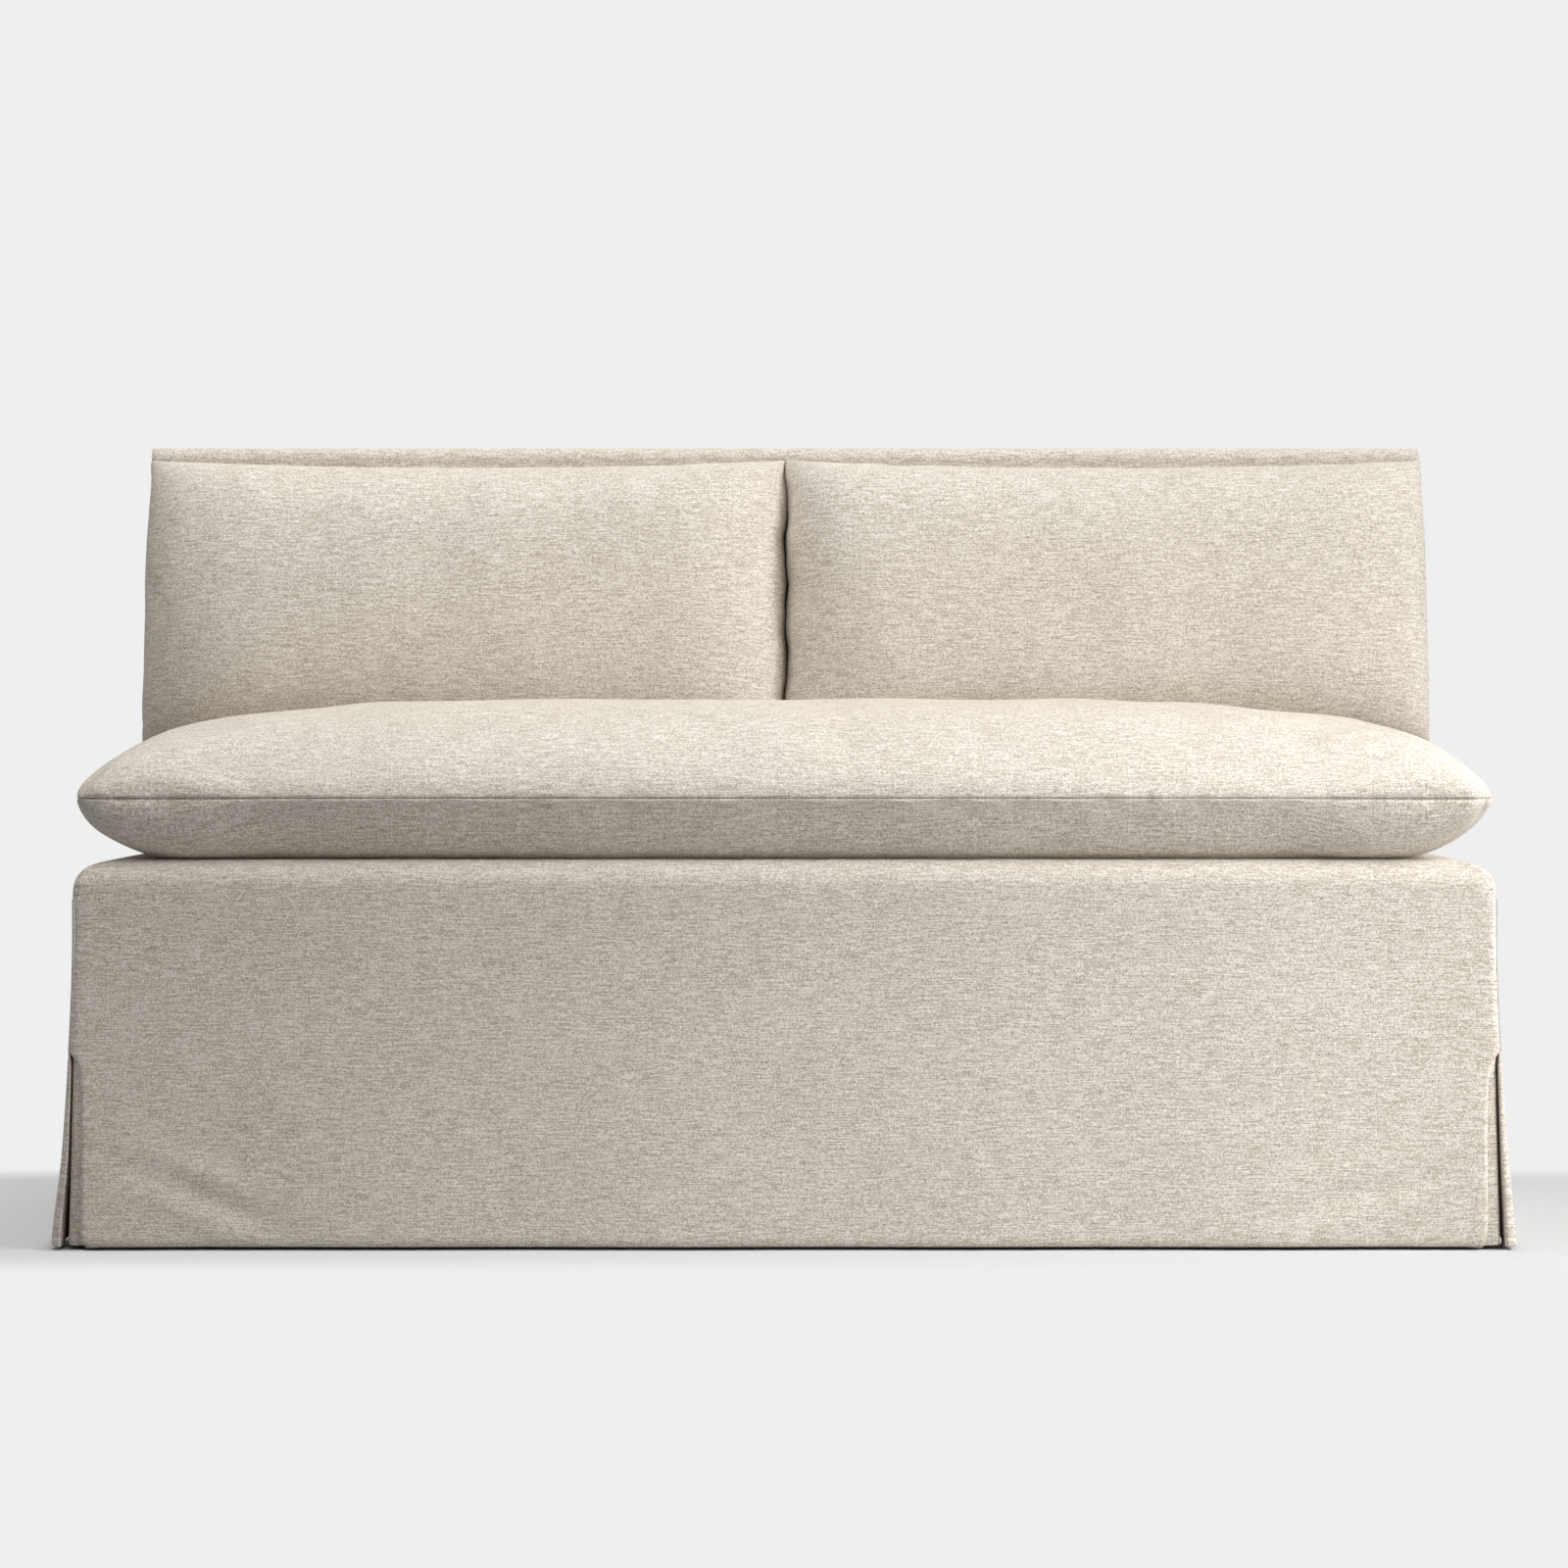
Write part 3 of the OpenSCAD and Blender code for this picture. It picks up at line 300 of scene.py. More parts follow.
def quads(numbers):
    # quads over a grid of point numbers; as seen from outside, rows go up and columns go right
    corners = [numbers[:-1, :-1], numbers[:-1, 1:], numbers[1:, 1:], numbers[1:, :-1]]
    return np.stack(corners, axis=-1).reshape(-1, 4)


def gridFaces(rows, cols):
    return quads(np.arange(rows * cols).reshape(rows, cols))


def addPiece(name, mesh, material, bodyName, nodes):
    piece = bpy.data.objects.new(name, mesh)
    bpy.context.scene.collection.objects.link(piece)
    mesh.materials.append(material)
    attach(piece, bodyName)
    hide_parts(*nodes)
    return piece


def thicken(piece, thickness):
    # the cloth's thickness, inwards from its outside
    wall = piece.modifiers.new("cloth", "SOLIDIFY")
    wall.thickness = thickness
    wall.offset = -1


def arcLengths(points, axis):
    # distance along the grid from its first row or column, the same for all that cross it at their middle
    steps = np.linalg.norm(np.diff(points, axis=axis), axis=-1)
    middle = np.take(steps, steps.shape[1 - axis] // 2, axis=1 - axis)
    return np.concatenate([[0], np.cumsum(middle)])


def sheetPiece(name, grid, nodes, flip=False, start=None):
    # a cloth sheet of the slipcover: a grid of points with its outside on the right-hand side; its UVs are the
    # distances along it, from start in the width
    rows, cols = grid.shape[:2]
    across = arcLengths(grid, 1) + (grid[0, 0, 0] if start is None else start)
    uv = np.stack(np.broadcast_arrays(across[None, :], arcLengths(grid, 0)[:, None]), axis=-1)
    faces = gridFaces(rows, cols)
    if flip:
        faces = faces[:, ::-1]
    mesh = surfaceMesh(name, grid.reshape(-1, 3), faces, uv.reshape(-1, 2)[faces.ravel()])
    piece = addPiece(name, mesh, linenCloth, "base", nodes)
    thicken(piece, body["cloth"])
    return piece


frontCloth = {
    "columns": 150, "edgeIn": 3 * mm, "foldIn": 8 * mm, "foldDrop": 26 * mm, "foldR": 5 * mm,
    "hemR": 10 * mm, "hemDepth": 4 * mm, "hemTurn": 34 * mm, "hemPull": 7 * mm, "pullDrop": 6 * mm,
    "topIn": 14 * mm,
}
cornerFolds = {"height": 1.7 * mm, "length": 58 * mm, "inward": 140 * mm, "reach": 85 * mm, "band": 42 * mm}


def drape(x, z):
    # hang of a long panel out of its plane: slow waves that grow towards the hem, and at each lower corner a
    # cosine of two soft folds, sloping down from the pleat towards the middle, that fades like a bell both ways
    p = cornerFolds
    low = 1 - smooth(z, 20 * mm, 230 * mm)
    out = 0.7 * mm * ripple(x, z * 0.35, 330 * mm, 5) * (0.35 + low)
    for side, fall, start in ((-1, 22, 114 * mm), (1, 14, 96 * mm)):
        inward = body["halfW"] - side * x
        cross = z - start + inward * np.tan(np.radians(fall))
        fade = np.exp(-((inward - p["inward"]) / p["reach"]) ** 2) * np.exp(-(cross / p["band"]) ** 2)
        out = out - p["height"] * fade * np.cos(2 * pi * cross / p["length"])
    return out * (1 - smooth(z, body["skirt"], 372 * mm))


def hemRound(r, depth):
    # half an ellipse under the hem, from the inside turn-up to the outside: heights and distances inwards
    angle = np.linspace(0, pi, 9)
    return body["hemGap"] + r - r * np.sin(angle), depth * (1 + np.cos(angle))


def pleatedEdge(z, joinedX, cornerR):
    # right edge of a long panel and its radius: joined to the side above the pleat, drawn in along an
    # exponential below it; also the share of the open fold
    p = frontCloth
    edge = body["pleatTop"] - z
    folded = smooth(edge, -4 * mm, 14 * mm)
    foldX = body["halfW"] - p["edgeIn"] - p["foldIn"] * (1 - np.exp(-np.clip(edge, 0, None) / p["foldDrop"]))
    return joinedX * (1 - folded) + foldX * folded, cornerR * (1 - folded) + p["foldR"] * folded, folded


def quarterRound(edgeX, radius, steps):
    # the rounded right edge of each row, from the flat to the edge: x and distances inwards
    turn = np.linspace(0, pi / 2, steps)[1:]
    x = (edgeX - radius)[:, None] + radius[:, None] * np.sin(turn)[None, :]
    return x, radius[:, None] * (1 - np.cos(turn))[None, :]


def frontPanel():
    p = frontCloth
    # rows from the inside turn-up, round the hem, up the wall and over the front roll
    wallFoot = body["hemGap"] + p["hemR"]
    rollFoot = body["deck"] - body["frontRoll"]
    turnZ, turnIn = hemRound(p["hemR"], p["hemDepth"])
    insideZ = np.linspace(body["hemGap"] + p["hemTurn"], wallFoot + mm, 4)
    openZ = np.linspace(wallFoot, body["pleatTop"] + 30 * mm, 60)
    wallZ = np.linspace(body["pleatTop"] + 34 * mm, rollZ, 18)
    rollAngle = np.linspace(0, pi / 2, 15)[1:]
    frontRollZ = np.concatenate([np.linspace(rollZ + 2 * mm, rollFoot, 5),
                                 rollFoot + body["frontRoll"] * np.sin(rollAngle)])
    z = np.concatenate([insideZ, turnZ[:-1], openZ, wallZ, frontRollZ, [body["deck"] - 1.6 * mm]])
    back = np.concatenate([np.full(len(insideZ), 2 * p["hemDepth"]), turnIn[:-1],
                           np.zeros(len(openZ) + len(wallZ) + len(frontRollZ)), [p["topIn"]]])
    edgeX, radius, folded = pleatedEdge(z, sideX(z), body["corner"])
    edgeX = edgeX - p["hemPull"] * np.exp(-np.clip(z - body["hemGap"], 0, None) / p["pullDrop"]) * folded
    edgeX[-1] = edgeX[-2]
    # columns: the flat, the rounded edges, and their returns behind the fold or round the joined corner
    flatX = np.linspace(-1, 1, p["columns"])[None, :] * (edgeX - radius)[:, None]
    roundX, roundIn = quarterRound(edgeX, radius, 8)
    runs = np.array([3, 8, 14]) * mm
    returnX = edgeX[:, None] - runs[None, :] * folded[:, None]
    returnIn = radius[:, None] + runs[None, :] * (0.3 * folded + 0.2 * (1 - folded))[:, None]
    right = np.concatenate([roundX, returnX], axis=1)
    inward = np.concatenate([roundIn, returnIn], axis=1)
    x = np.concatenate([-right[:, ::-1], flatX, right], axis=1)
    y = np.concatenate([inward[:, ::-1], np.zeros_like(flatX), inward], axis=1) + (back - endY(z))[:, None]
    zGrid = np.broadcast_to(z[:, None], x.shape)
    grid = np.stack([x, y - drape(x, zGrid), zGrid], axis=-1)
    piece = sheetPiece("front_panel_cloth", grid, ["front_panel"])


frontPanel()

# the left fold hangs turned outwards and flicks out at the hem; the right one stays round
sideCloth = {
    "rows": 70, "wallColumns": 60, "foldT": 15 * mm, "foldD": 30 * mm, "hemR": 3.5 * mm,
    "left": {"depth": 0.9, "inner": 0.6 * mm, "power": 1.4, "flick": 3.4 * mm},
    "right": {"depth": 0.1, "inner": 3 * mm, "power": 1.9, "flick": 0.6 * mm},
}


def sidePanel(sideName, side):
    # a wall with a soft rolled fold at each open pleat, joined to the corners above the pleats
    p = sideCloth
    fold = p[sideName]
    hemAngle = np.linspace(0, pi / 2, 6)
    z = np.concatenate([body["hemGap"] + p["hemR"] * (1 - np.cos(hemAngle)),
                        np.linspace(body["hemGap"] + p["hemR"] + mm, rollZ, p["rows"])])
    back = np.concatenate([p["hemR"] * (1 - np.sin(hemAngle)), np.zeros(p["rows"])])
    folded = smooth(body["pleatTop"] - z, -2 * mm, 16 * mm)
    loft = (p["foldT"] - 3.5 * mm) * hangShare(z) * folded + 1.2 * mm
    outX = sideX(z) - back
    frontEnd = -endY(z) + body["corner"] * (1 - folded) + mm * folded
    # nose of the fold in plan: a small round at its inner edge, then a superellipse back to the outer face
    turned = np.minimum(back, loft / 2)
    depth = loft * (0.5 + fold["depth"] * folded)
    inner = np.minimum(fold["inner"], loft / 3)
    width = np.maximum(loft - turned - inner, 0.2 * mm)
    t = np.linspace(0, pi / 2, 12)
    slope = 2 / fold["power"]
    innerX = (outX - loft + turned + inner)[:, None] - inner[:, None] * np.cos(t[:-1])[None, :]
    innerY = (frontEnd + turned + inner)[:, None] - inner[:, None] * np.sin(t[:-1])[None, :]
    outerX = (outX - width)[:, None] + width[:, None] * (np.sin(t) ** slope)[None, :]
    outerY = (frontEnd + turned)[:, None] + depth[:, None] * (1 - np.cos(t) ** slope)[None, :]
    noseX = np.concatenate([innerX, outerX], axis=1)
    noseY = np.concatenate([innerY, outerY], axis=1)
    runs = np.linspace(p["foldD"], 4 * mm, 5)  # the return behind the fold
    backX = np.broadcast_to((outX - loft + turned)[:, None], (len(z), len(runs)))
    backY = (frontEnd + turned + inner)[:, None] + runs[None, :]
    wall = np.linspace(0, 1, p["wallColumns"])[1:-1]
    start = (frontEnd + turned + depth)[:, None]
    wallY = start * (1 - wall)[None, :] - start * wall[None, :]
    wallX = np.broadcast_to(outX[:, None], wallY.shape)
    x = np.concatenate([backX, noseX, wallX, noseX[:, ::-1], backX[:, ::-1]], axis=1)
    y = np.concatenate([backY, noseY, wallY, -noseY[:, ::-1], -backY[:, ::-1]], axis=1)
    zGrid = np.broadcast_to(z[:, None], x.shape)
    fromEnd = body["halfD"] - np.abs(y)
    wave = 0.9 * mm * ripple(y, zGrid * 0.3, 260 * mm, 21 + side) * (1 - smooth(zGrid, 120 * mm, 330 * mm))
    wave = wave * smooth(fromEnd, 30 * mm, 110 * mm)
    flick = fold["flick"] * np.exp(-fromEnd / (50 * mm)) * (1 - smooth(zGrid, 10 * mm, 110 * mm))
    grid = np.stack([side * (x + wave + flick), y, zGrid], axis=-1)
    name = "side_panel_" + sideName
    piece = sheetPiece(name + "_cloth", grid, [name], flip=side < 0, start=0)


insertCloth = {
    "rows": 36, "halfW": 759.8 * mm, "flareX": 5.6 * mm, "halfD": 342.9 * mm, "flareY": 6.2 * mm,
    "r": 8 * mm, "leg": 72 * mm, "foot": 5.8 * mm, "top": 223 * mm,
}


def pleatInsert(sideName, side, end):
    # an angle of cloth behind each open pleat, rounded at its corner and flaring to the hem by near the share
    # of the skirt's flare
    p = insertCloth
    z = np.concatenate([[4.4 * mm, 4.8 * mm], np.linspace(p["foot"], p["top"], p["rows"])])
    turnIn = np.concatenate([[2.2 * mm, 0.8 * mm], np.zeros(p["rows"])])
    share = hangShare(z)
    x0 = p["halfW"] + p["flareX"] * share ** 0.86
    y0 = p["halfD"] + p["flareY"] * share ** 0.9
    r = p["r"]
    angles = np.linspace(0, pi / 2, 10)
    legs = np.linspace(p["leg"], r, 12)[:-1]
    frontX = x0[:, None] - legs[None, :]
    frontY = np.broadcast_to(-y0[:, None], frontX.shape)
    arcX = (x0 - r)[:, None] + r * np.sin(angles)[None, :]
    arcY = -(y0 - r)[:, None] - r * np.cos(angles)[None, :]
    sideYs = -y0[:, None] + legs[::-1][None, :]
    sideXs = np.broadcast_to(x0[:, None], sideYs.shape)
    x = np.concatenate([frontX, arcX, sideXs], axis=1) - turnIn[:, None]
    y = np.concatenate([frontY, arcY, sideYs], axis=1) + turnIn[:, None]
    grid = np.stack([side * x, end * y, np.broadcast_to(z[:, None], x.shape)], axis=-1)
    node = "front_pleat_inserts" if end > 0 else "rear_pleat_inserts"
    piece = sheetPiece(f"pleat_insert_{sideName}_cloth", grid, [node], flip=side * end < 0)


sides = (("left", -1), ("right", 1))
for sideName, side in sides:
    sidePanel(sideName, side)
for sideName, side in sides:
    pleatInsert("front_" + sideName, side, 1)
    pleatInsert("rear_" + sideName, side, -1)
print("skirt ready")


def deckCover():
    # the deck and its rolled ends, from behind the front roll to the inside back
    angles = np.linspace(0, pi / 2, 21)
    endZ = rollZ + body["endRollH"] * np.sin(angles)
    endX = sideX(endZ)
    topX = np.linspace(-1, 1, 60)[1:-1] * endX[-1]
    x = np.concatenate([-endX, topX, endX[::-1]])
    z = np.concatenate([endZ, np.full(len(topX), body["deck"]), endZ[::-1]])
    start = -endY(z) + body["corner"]
    stop = insideY(z)
    t = np.linspace(0, 1, 40)[:, None]
    y = start[None, :] * (1 - t) + stop[None, :] * t
    grid = np.stack([np.broadcast_to(x, y.shape), y, np.broadcast_to(z, y.shape)], axis=-1)
    piece = sheetPiece("deck_cloth", grid, ["deck_cover"])


backCloth = {
    "facePoints": (27, 13), "arcPoints": 9, "topPoints": 8, "foot": 386 * mm, "rearR": 5 * mm, "edge": 5 * mm,
    "noseRise": 13 * mm, "gussetIn": 1.2 * mm, "hemR": 3 * mm, "joinR": 6 * mm,
}


def backPath(lowZ):
    # the inside back's profile from lowZ up, over the rounded front edge and along the flat top
    p = backCloth
    r = body["backRoll"]
    midZ = body["height"] - r
    midY = insideY(midZ) + r / np.cos(leanAngle) - body["backNose"]
    a = np.linspace(pi - leanAngle, pi / 2, p["arcPoints"])
    arc = np.stack([midY + r * np.cos(a), midZ + r * np.sin(a)], axis=-1)
    low, high = p["facePoints"]
    rise = np.concatenate([np.linspace(lowZ, midZ - p["noseRise"] - mm, low),
                           np.linspace(midZ - p["noseRise"], arc[0, 1], high)])[:-1]
    nose = body["backNose"] * smooth(rise, midZ - p["noseRise"], midZ + mm)
    face = np.stack([insideY(rise) - nose, rise], axis=-1)
    topY = np.linspace(arc[-1, 0], body["halfD"] - p["rearR"], p["topPoints"] + 1)[1:]
    top = np.stack([topY, np.full(p["topPoints"], body["height"])], axis=-1)
    b = np.linspace(pi / 2, 0, 6)[1:]
    rearY = body["halfD"] - p["rearR"] + p["rearR"] * np.cos(b)
    rear = np.stack([rearY, body["height"] - p["rearR"] + p["rearR"] * np.sin(b)], axis=-1)
    return np.concatenate([face, arc, top, rear])


def insideBack():
    # the profile drawn across the width, sunk along its normal by a quarter round at both ends
    path = backPath(backCloth["foot"])
    edge = backCloth["edge"]
    angle = np.linspace(0, pi / 2, 6)
    endX = body["halfW"] - edge + edge * np.cos(angle)
    flatX = np.linspace(-1, 1, 80)[1:-1] * (body["halfW"] - edge)
    endSink = edge * (1 - np.sin(angle))
    x = np.concatenate([-endX, flatX, endX[::-1]])
    sink = np.concatenate([endSink, np.zeros(len(flatX)), endSink[::-1]])
    tangent = np.gradient(path, axis=0)
    tangent /= np.linalg.norm(tangent, axis=1)[:, None]
    normal = np.stack([-tangent[:, 1], tangent[:, 0]], axis=-1)
    yz = path[:, None, :] - normal[:, None, :] * sink[None, :, None]
    grid = np.stack([np.broadcast_to(x, yz.shape[:2]), yz[..., 0], yz[..., 1]], axis=-1)
    piece = sheetPiece("inside_back_cloth", grid, ["inside_back_cover"])


def backGusset(sideName, side):
    # the end of the back: a flat sheet between the inside back's profile and the rear
    p = backCloth
    rising = sum(p["facePoints"]) - 1 + p["arcPoints"]
    path = backPath(rollZ)[:rising]
    z = np.linspace(rollZ, body["height"] - p["gussetIn"], 60)
    frontY = np.interp(z, path[:, 1], path[:, 0]) + p["gussetIn"]
    t = np.linspace(0, 1, 24)
    y = frontY[:, None] * (1 - t)[None, :] + (body["halfD"] - p["gussetIn"]) * t[None, :]
    x = np.full_like(y, body["halfW"] - 0.4 * mm)
    grid = np.stack([side * x, y, np.broadcast_to(z[:, None], y.shape)], axis=-1)
    piece = sheetPiece(f"back_gusset_{sideName}_cloth", grid, ["back_gussets"], flip=side < 0)


def rearPanel():
    # the outside back down to the floor, with the same pleats and folds as the front
    p = backCloth
    turnZ, turnIn = hemRound(p["hemR"], p["hemR"])
    openZ = np.linspace(body["hemGap"] + p["hemR"], body["pleatTop"] + 20 * mm, 44)
    wallZ = np.linspace(body["pleatTop"] + 24 * mm, body["height"] - 5 * mm, 60)
    z = np.concatenate([turnZ[:-1], openZ, wallZ])
    back = np.concatenate([turnIn[:-1], np.zeros(len(openZ) + len(wallZ))])
    edgeX, radius, _ = pleatedEdge(z, body["halfW"] + body["sideFlare"] * hangShare(z), p["joinR"])
    flatX = np.linspace(-1, 1, 100)[None, :] * (edgeX - radius)[:, None]
    roundX, roundIn = quarterRound(edgeX, radius, 7)
    x = np.concatenate([-roundX[:, ::-1], flatX, roundX], axis=1)
    y = np.concatenate([roundIn[:, ::-1], np.zeros_like(flatX), roundIn], axis=1)
    zGrid = np.broadcast_to(z[:, None], x.shape)
    flare = (body["halfD"] + body["endFlare"] * hangShare(z) - back)[:, None]
    wave = 0.9 * mm * ripple(x, zGrid * 0.3, 300 * mm, 77) * (1 - smooth(zGrid, 100 * mm, 600 * mm))
    grid = np.stack([x, flare - y + (wave + drape(-x, zGrid)), zGrid], axis=-1)
    piece = sheetPiece("rear_panel_cloth", grid, ["rear_panel"], flip=True)


dust = {"sag": 7 * mm, "cloth": 0.6 * mm, "legGap": 7 * mm, "columns": 150, "rows": 70}


def dustCover():
    # black cloth stapled under the rails: it sags between them as a product of two parabolas, and is cut round
    # the legs
    (x0, y0, _), (x1, y1, top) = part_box("dust_cover")
    u, v = np.meshgrid(np.linspace(-1, 1, dust["columns"]), np.linspace(-1, 1, dust["rows"]))
    x = (x0 + x1) / 2 + u * (x1 - x0) / 2
    y = (y0 + y1) / 2 + v * (y1 - y0) / 2
    inside = np.clip((1 - np.abs(u)) / 0.08, 0, 1) * np.clip((1 - np.abs(v)) / 0.16, 0, 1)
    sag = dust["sag"] * (1 - v ** 2) * (1 - (2 * np.abs(u) - 1) ** 2) + 0.8 * mm * ripple(x, y, 170 * mm, 41)
    grid = np.stack([x, y, top - 0.4 * mm - inside * np.clip(sag, 0, None)], axis=-1)
    faces = gridFaces(*u.shape)
    middle = grid.reshape(-1, 3)[faces].mean(axis=1)[:, :2]
    keep = np.ones(len(faces), dtype=bool)
    for leg in ("leg_front_left", "leg_front_right", "leg_rear_left", "leg_rear_right", "leg_centre"):
        low, high = (np.array(corner)[:2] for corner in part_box(leg))
        keep &= ~np.all((middle > low - dust["legGap"]) & (middle < high + dust["legGap"]), axis=1)
    faces = faces[keep][:, ::-1]
    uvs = grid[..., :2].reshape(-1, 2)[faces.ravel()]
    mesh = surfaceMesh("dust_cover_cloth", grid.reshape(-1, 3), faces, uvs)
    piece = addPiece("dust_cover_cloth", mesh, hiddenFinishes["cambric"], "base", ["dust_cover"])
    thicken(piece, dust["cloth"])


dustCover()
deckCover()
insideBack()
for sideName, side in sides:
    backGusset(sideName, side)
rearPanel()
print("slipcover ready")


def swell(distance, reach, run, rise):
    # a stuffed edge: nothing at the seam, one at its reach
    return (1 - (1 - np.clip(distance / reach, 0, 1)) ** run) ** (1 / rise)


def softPlus(a, width):
    # a where a is positive, easing to nothing where it isn't
    return width * np.logaddexp(0, a / width)


# curves are the run and rise of swell; wrinkle is the upper and lower faces' share of the simulated creases;
# seamShade is the strength of the painted shade along the seams
seatCushion = {
    "halfW": 758.5 * mm, "halfD": 284 * mm, "midY": -69 * mm, "seam": 482 * mm, "crown": 107 * mm,
    "draw": 4 * mm, "cornerR": 30 * mm, "rearCurve": (2.0, 2.0),
    "topReach": 446 * mm, "topCurve": (2.125, 2.785), "frontPower": 2.64, "frontRise": (1.7, 0.98),
    "underReach": 300 * mm, "underCurve": (1.8, 1.9), "landReach": 52 * mm, "landRun": 2.05,
    "landRise": (1.04, 1.36), "landShare": (0.64, 0.34), "float": 0.6 * mm, "landEase": 1.2 * mm,
    "cols": 150, "rows": 62, "fineCols": 300, "fineRows": 120, "wrinkle": (0.8, 0.2), "seamShade": 1.0,
}


def roundCorners(x, y, xHalf, yHalf, r):
    # the square corners of a plan squeezed on to arcs of radius r
    dx = np.clip(np.abs(x) - (xHalf - r), 0, None)
    dy = np.clip(np.abs(y) - (yHalf - r), 0, None)
    both = (dx > 0) & (dy > 0)
    squeeze = np.where(both, np.maximum(dx, dy) / np.maximum(np.hypot(dx, dy), 1e-9), 1)
    return x - np.sign(x) * dx * (1 - squeeze), y - np.sign(y) * dy * (1 - squeeze)


def seatPoint(u, v, top):
    # knife-edged pillow: half extents draw in between the corners, and the crown swells from the seams;
    # the underside slopes in from the front seam and lands softly on the deck
    p = seatCushion
    xHalf = p["halfW"] - p["draw"] * (1 - v * v)
    yHalf = p["halfD"] - p["draw"] * (1 - u * u)
    x, y = roundCorners(u * xHalf, v * yHalf, xHalf, yHalf, p["cornerR"])
    fromEnd = (1 - np.abs(u)) * xHalf
    endStart = 208 * mm if top else 240 * mm  # the ends are blunter than the middle from here on
    blunter = smooth(np.abs(u) * xHalf, p["halfW"] - endStart, p["halfW"] - 30 * mm)
    if top:
        across = swell(fromEnd, p["topReach"], *p["topCurve"])
        front = (1 - np.abs(v) ** p["frontPower"]) ** (1 / (p["frontRise"][0] + p["frontRise"][1] * blunter))
        z = p["seam"] + p["crown"] * across * np.where(v > 0, swell(1 - np.abs(v), 1, *p["rearCurve"]), front)
    else:
        across = swell(fromEnd, p["underReach"], *p["underCurve"])
        inside = (1 - np.abs(v)) * yHalf
        landing = swell(inside, p["landReach"], p["landRun"], p["landRise"][0] + p["landRise"][1] * blunter)
        early = p["landShare"][0] + p["landShare"][1] * blunter  # share of the drop that the landing takes
        drop = p["crown"] * across * (early * landing + (1 - early) * smooth(inside, 30 * mm, 190 * mm))
        floor = p["seam"] - body["deck"] - p["float"]
        z = p["seam"] - floor + softPlus(floor - drop, p["landEase"])
    return np.stack([x, p["midY"] + y, z + 0 * u], axis=-1)


backCushion = {
    "halfW": 379.3 * mm, "halfH": 170 * mm, "midX": 380.7 * mm, "crown": 94 * mm, "rear": 42 * mm,
    "reach": 150 * mm, "draw": 9 * mm, "sideDraw": 0.6 * mm, "extraLean": np.radians(2.5), "curve": (2.4, 2.6),
    "y": 200.1 * mm, "z": 706 * mm,
    "join": (0.2 * mm, 1.6 * mm, 0.5 * mm), "joinReach": 45 * mm, "topIn": 4.5 * mm, "topReach": 60 * mm,
    "cols": 84, "rows": 46, "fineCols": 190, "fineRows": 110, "wrinkle": (0.3, 0.3), "seamShade": 0.25,
}


def backPoint(u, v, front):
    # the same pillow stood up; its rear face is flattened by the inside back
    p = backCushion
    xHalf = p["halfW"] - p["sideDraw"] * (1 - v * v)
    zHalf = p["halfH"] - (p["draw"] + 2 * mm * v) * (1 - np.abs(u) ** 2.5)
    across = swell((1 - np.abs(u)) * xHalf, p["reach"], *p["curve"])
    rise = p["crown"] * across * swell(1 - np.abs(v), 1, *p["curve"])
    z = v * zHalf
    y = -rise if front else np.minimum(rise, p["rear"] - z * np.tan(p["extraLean"]))
    return np.stack([u * xHalf + 0 * v, y + 0 * u, z], axis=-1)


def evenShares(point, count, along):
    # shares from -1 to 1 that are an equal distance apart over the pillow's middle profile, and its length
    fine = -np.cos(np.linspace(0, pi, 2001))
    zero = np.zeros_like(fine)
    line = point(fine, zero, True) if along == "u" else point(zero, fine, True)
    length = np.concatenate([[0], np.cumsum(np.linalg.norm(np.diff(line, axis=0), axis=1))])
    return np.interp(np.linspace(0, length[-1], count), length, fine), length[-1]


def pillowFaces(rows, cols):
    # quads of both faces, which share their rim; also the grid index that each corner takes its UV from
    top = np.arange(rows * cols).reshape(rows, cols)
    under = top.copy()
    under[1:-1, 1:-1] = rows * cols + np.arange((rows - 2) * (cols - 2)).reshape(rows - 2, cols - 2)
    faces = np.concatenate([quads(top), quads(under)[:, ::-1]])
    return faces, np.concatenate([quads(top), quads(top)[:, ::-1]])


def pillowPoints(upper, lower):
    # points of both faces in one list, the rim only once
    return np.concatenate([upper.reshape(-1, 3), lower[1:-1, 1:-1].reshape(-1, 3)])


def splitPillow(points, rows, cols):
    # that list as two grids again
    upper = points[:rows * cols].reshape(rows, cols, 3)
    lower = upper.copy()
    lower[1:-1, 1:-1] = points[rows * cols:].reshape(rows - 2, cols - 2, 3)
    return upper, lower


blowUp = {"frames": 20, "quality": 4, "pressure": 4, "stretch": 15, "bending": 0.4, "cap": 26 * mm}


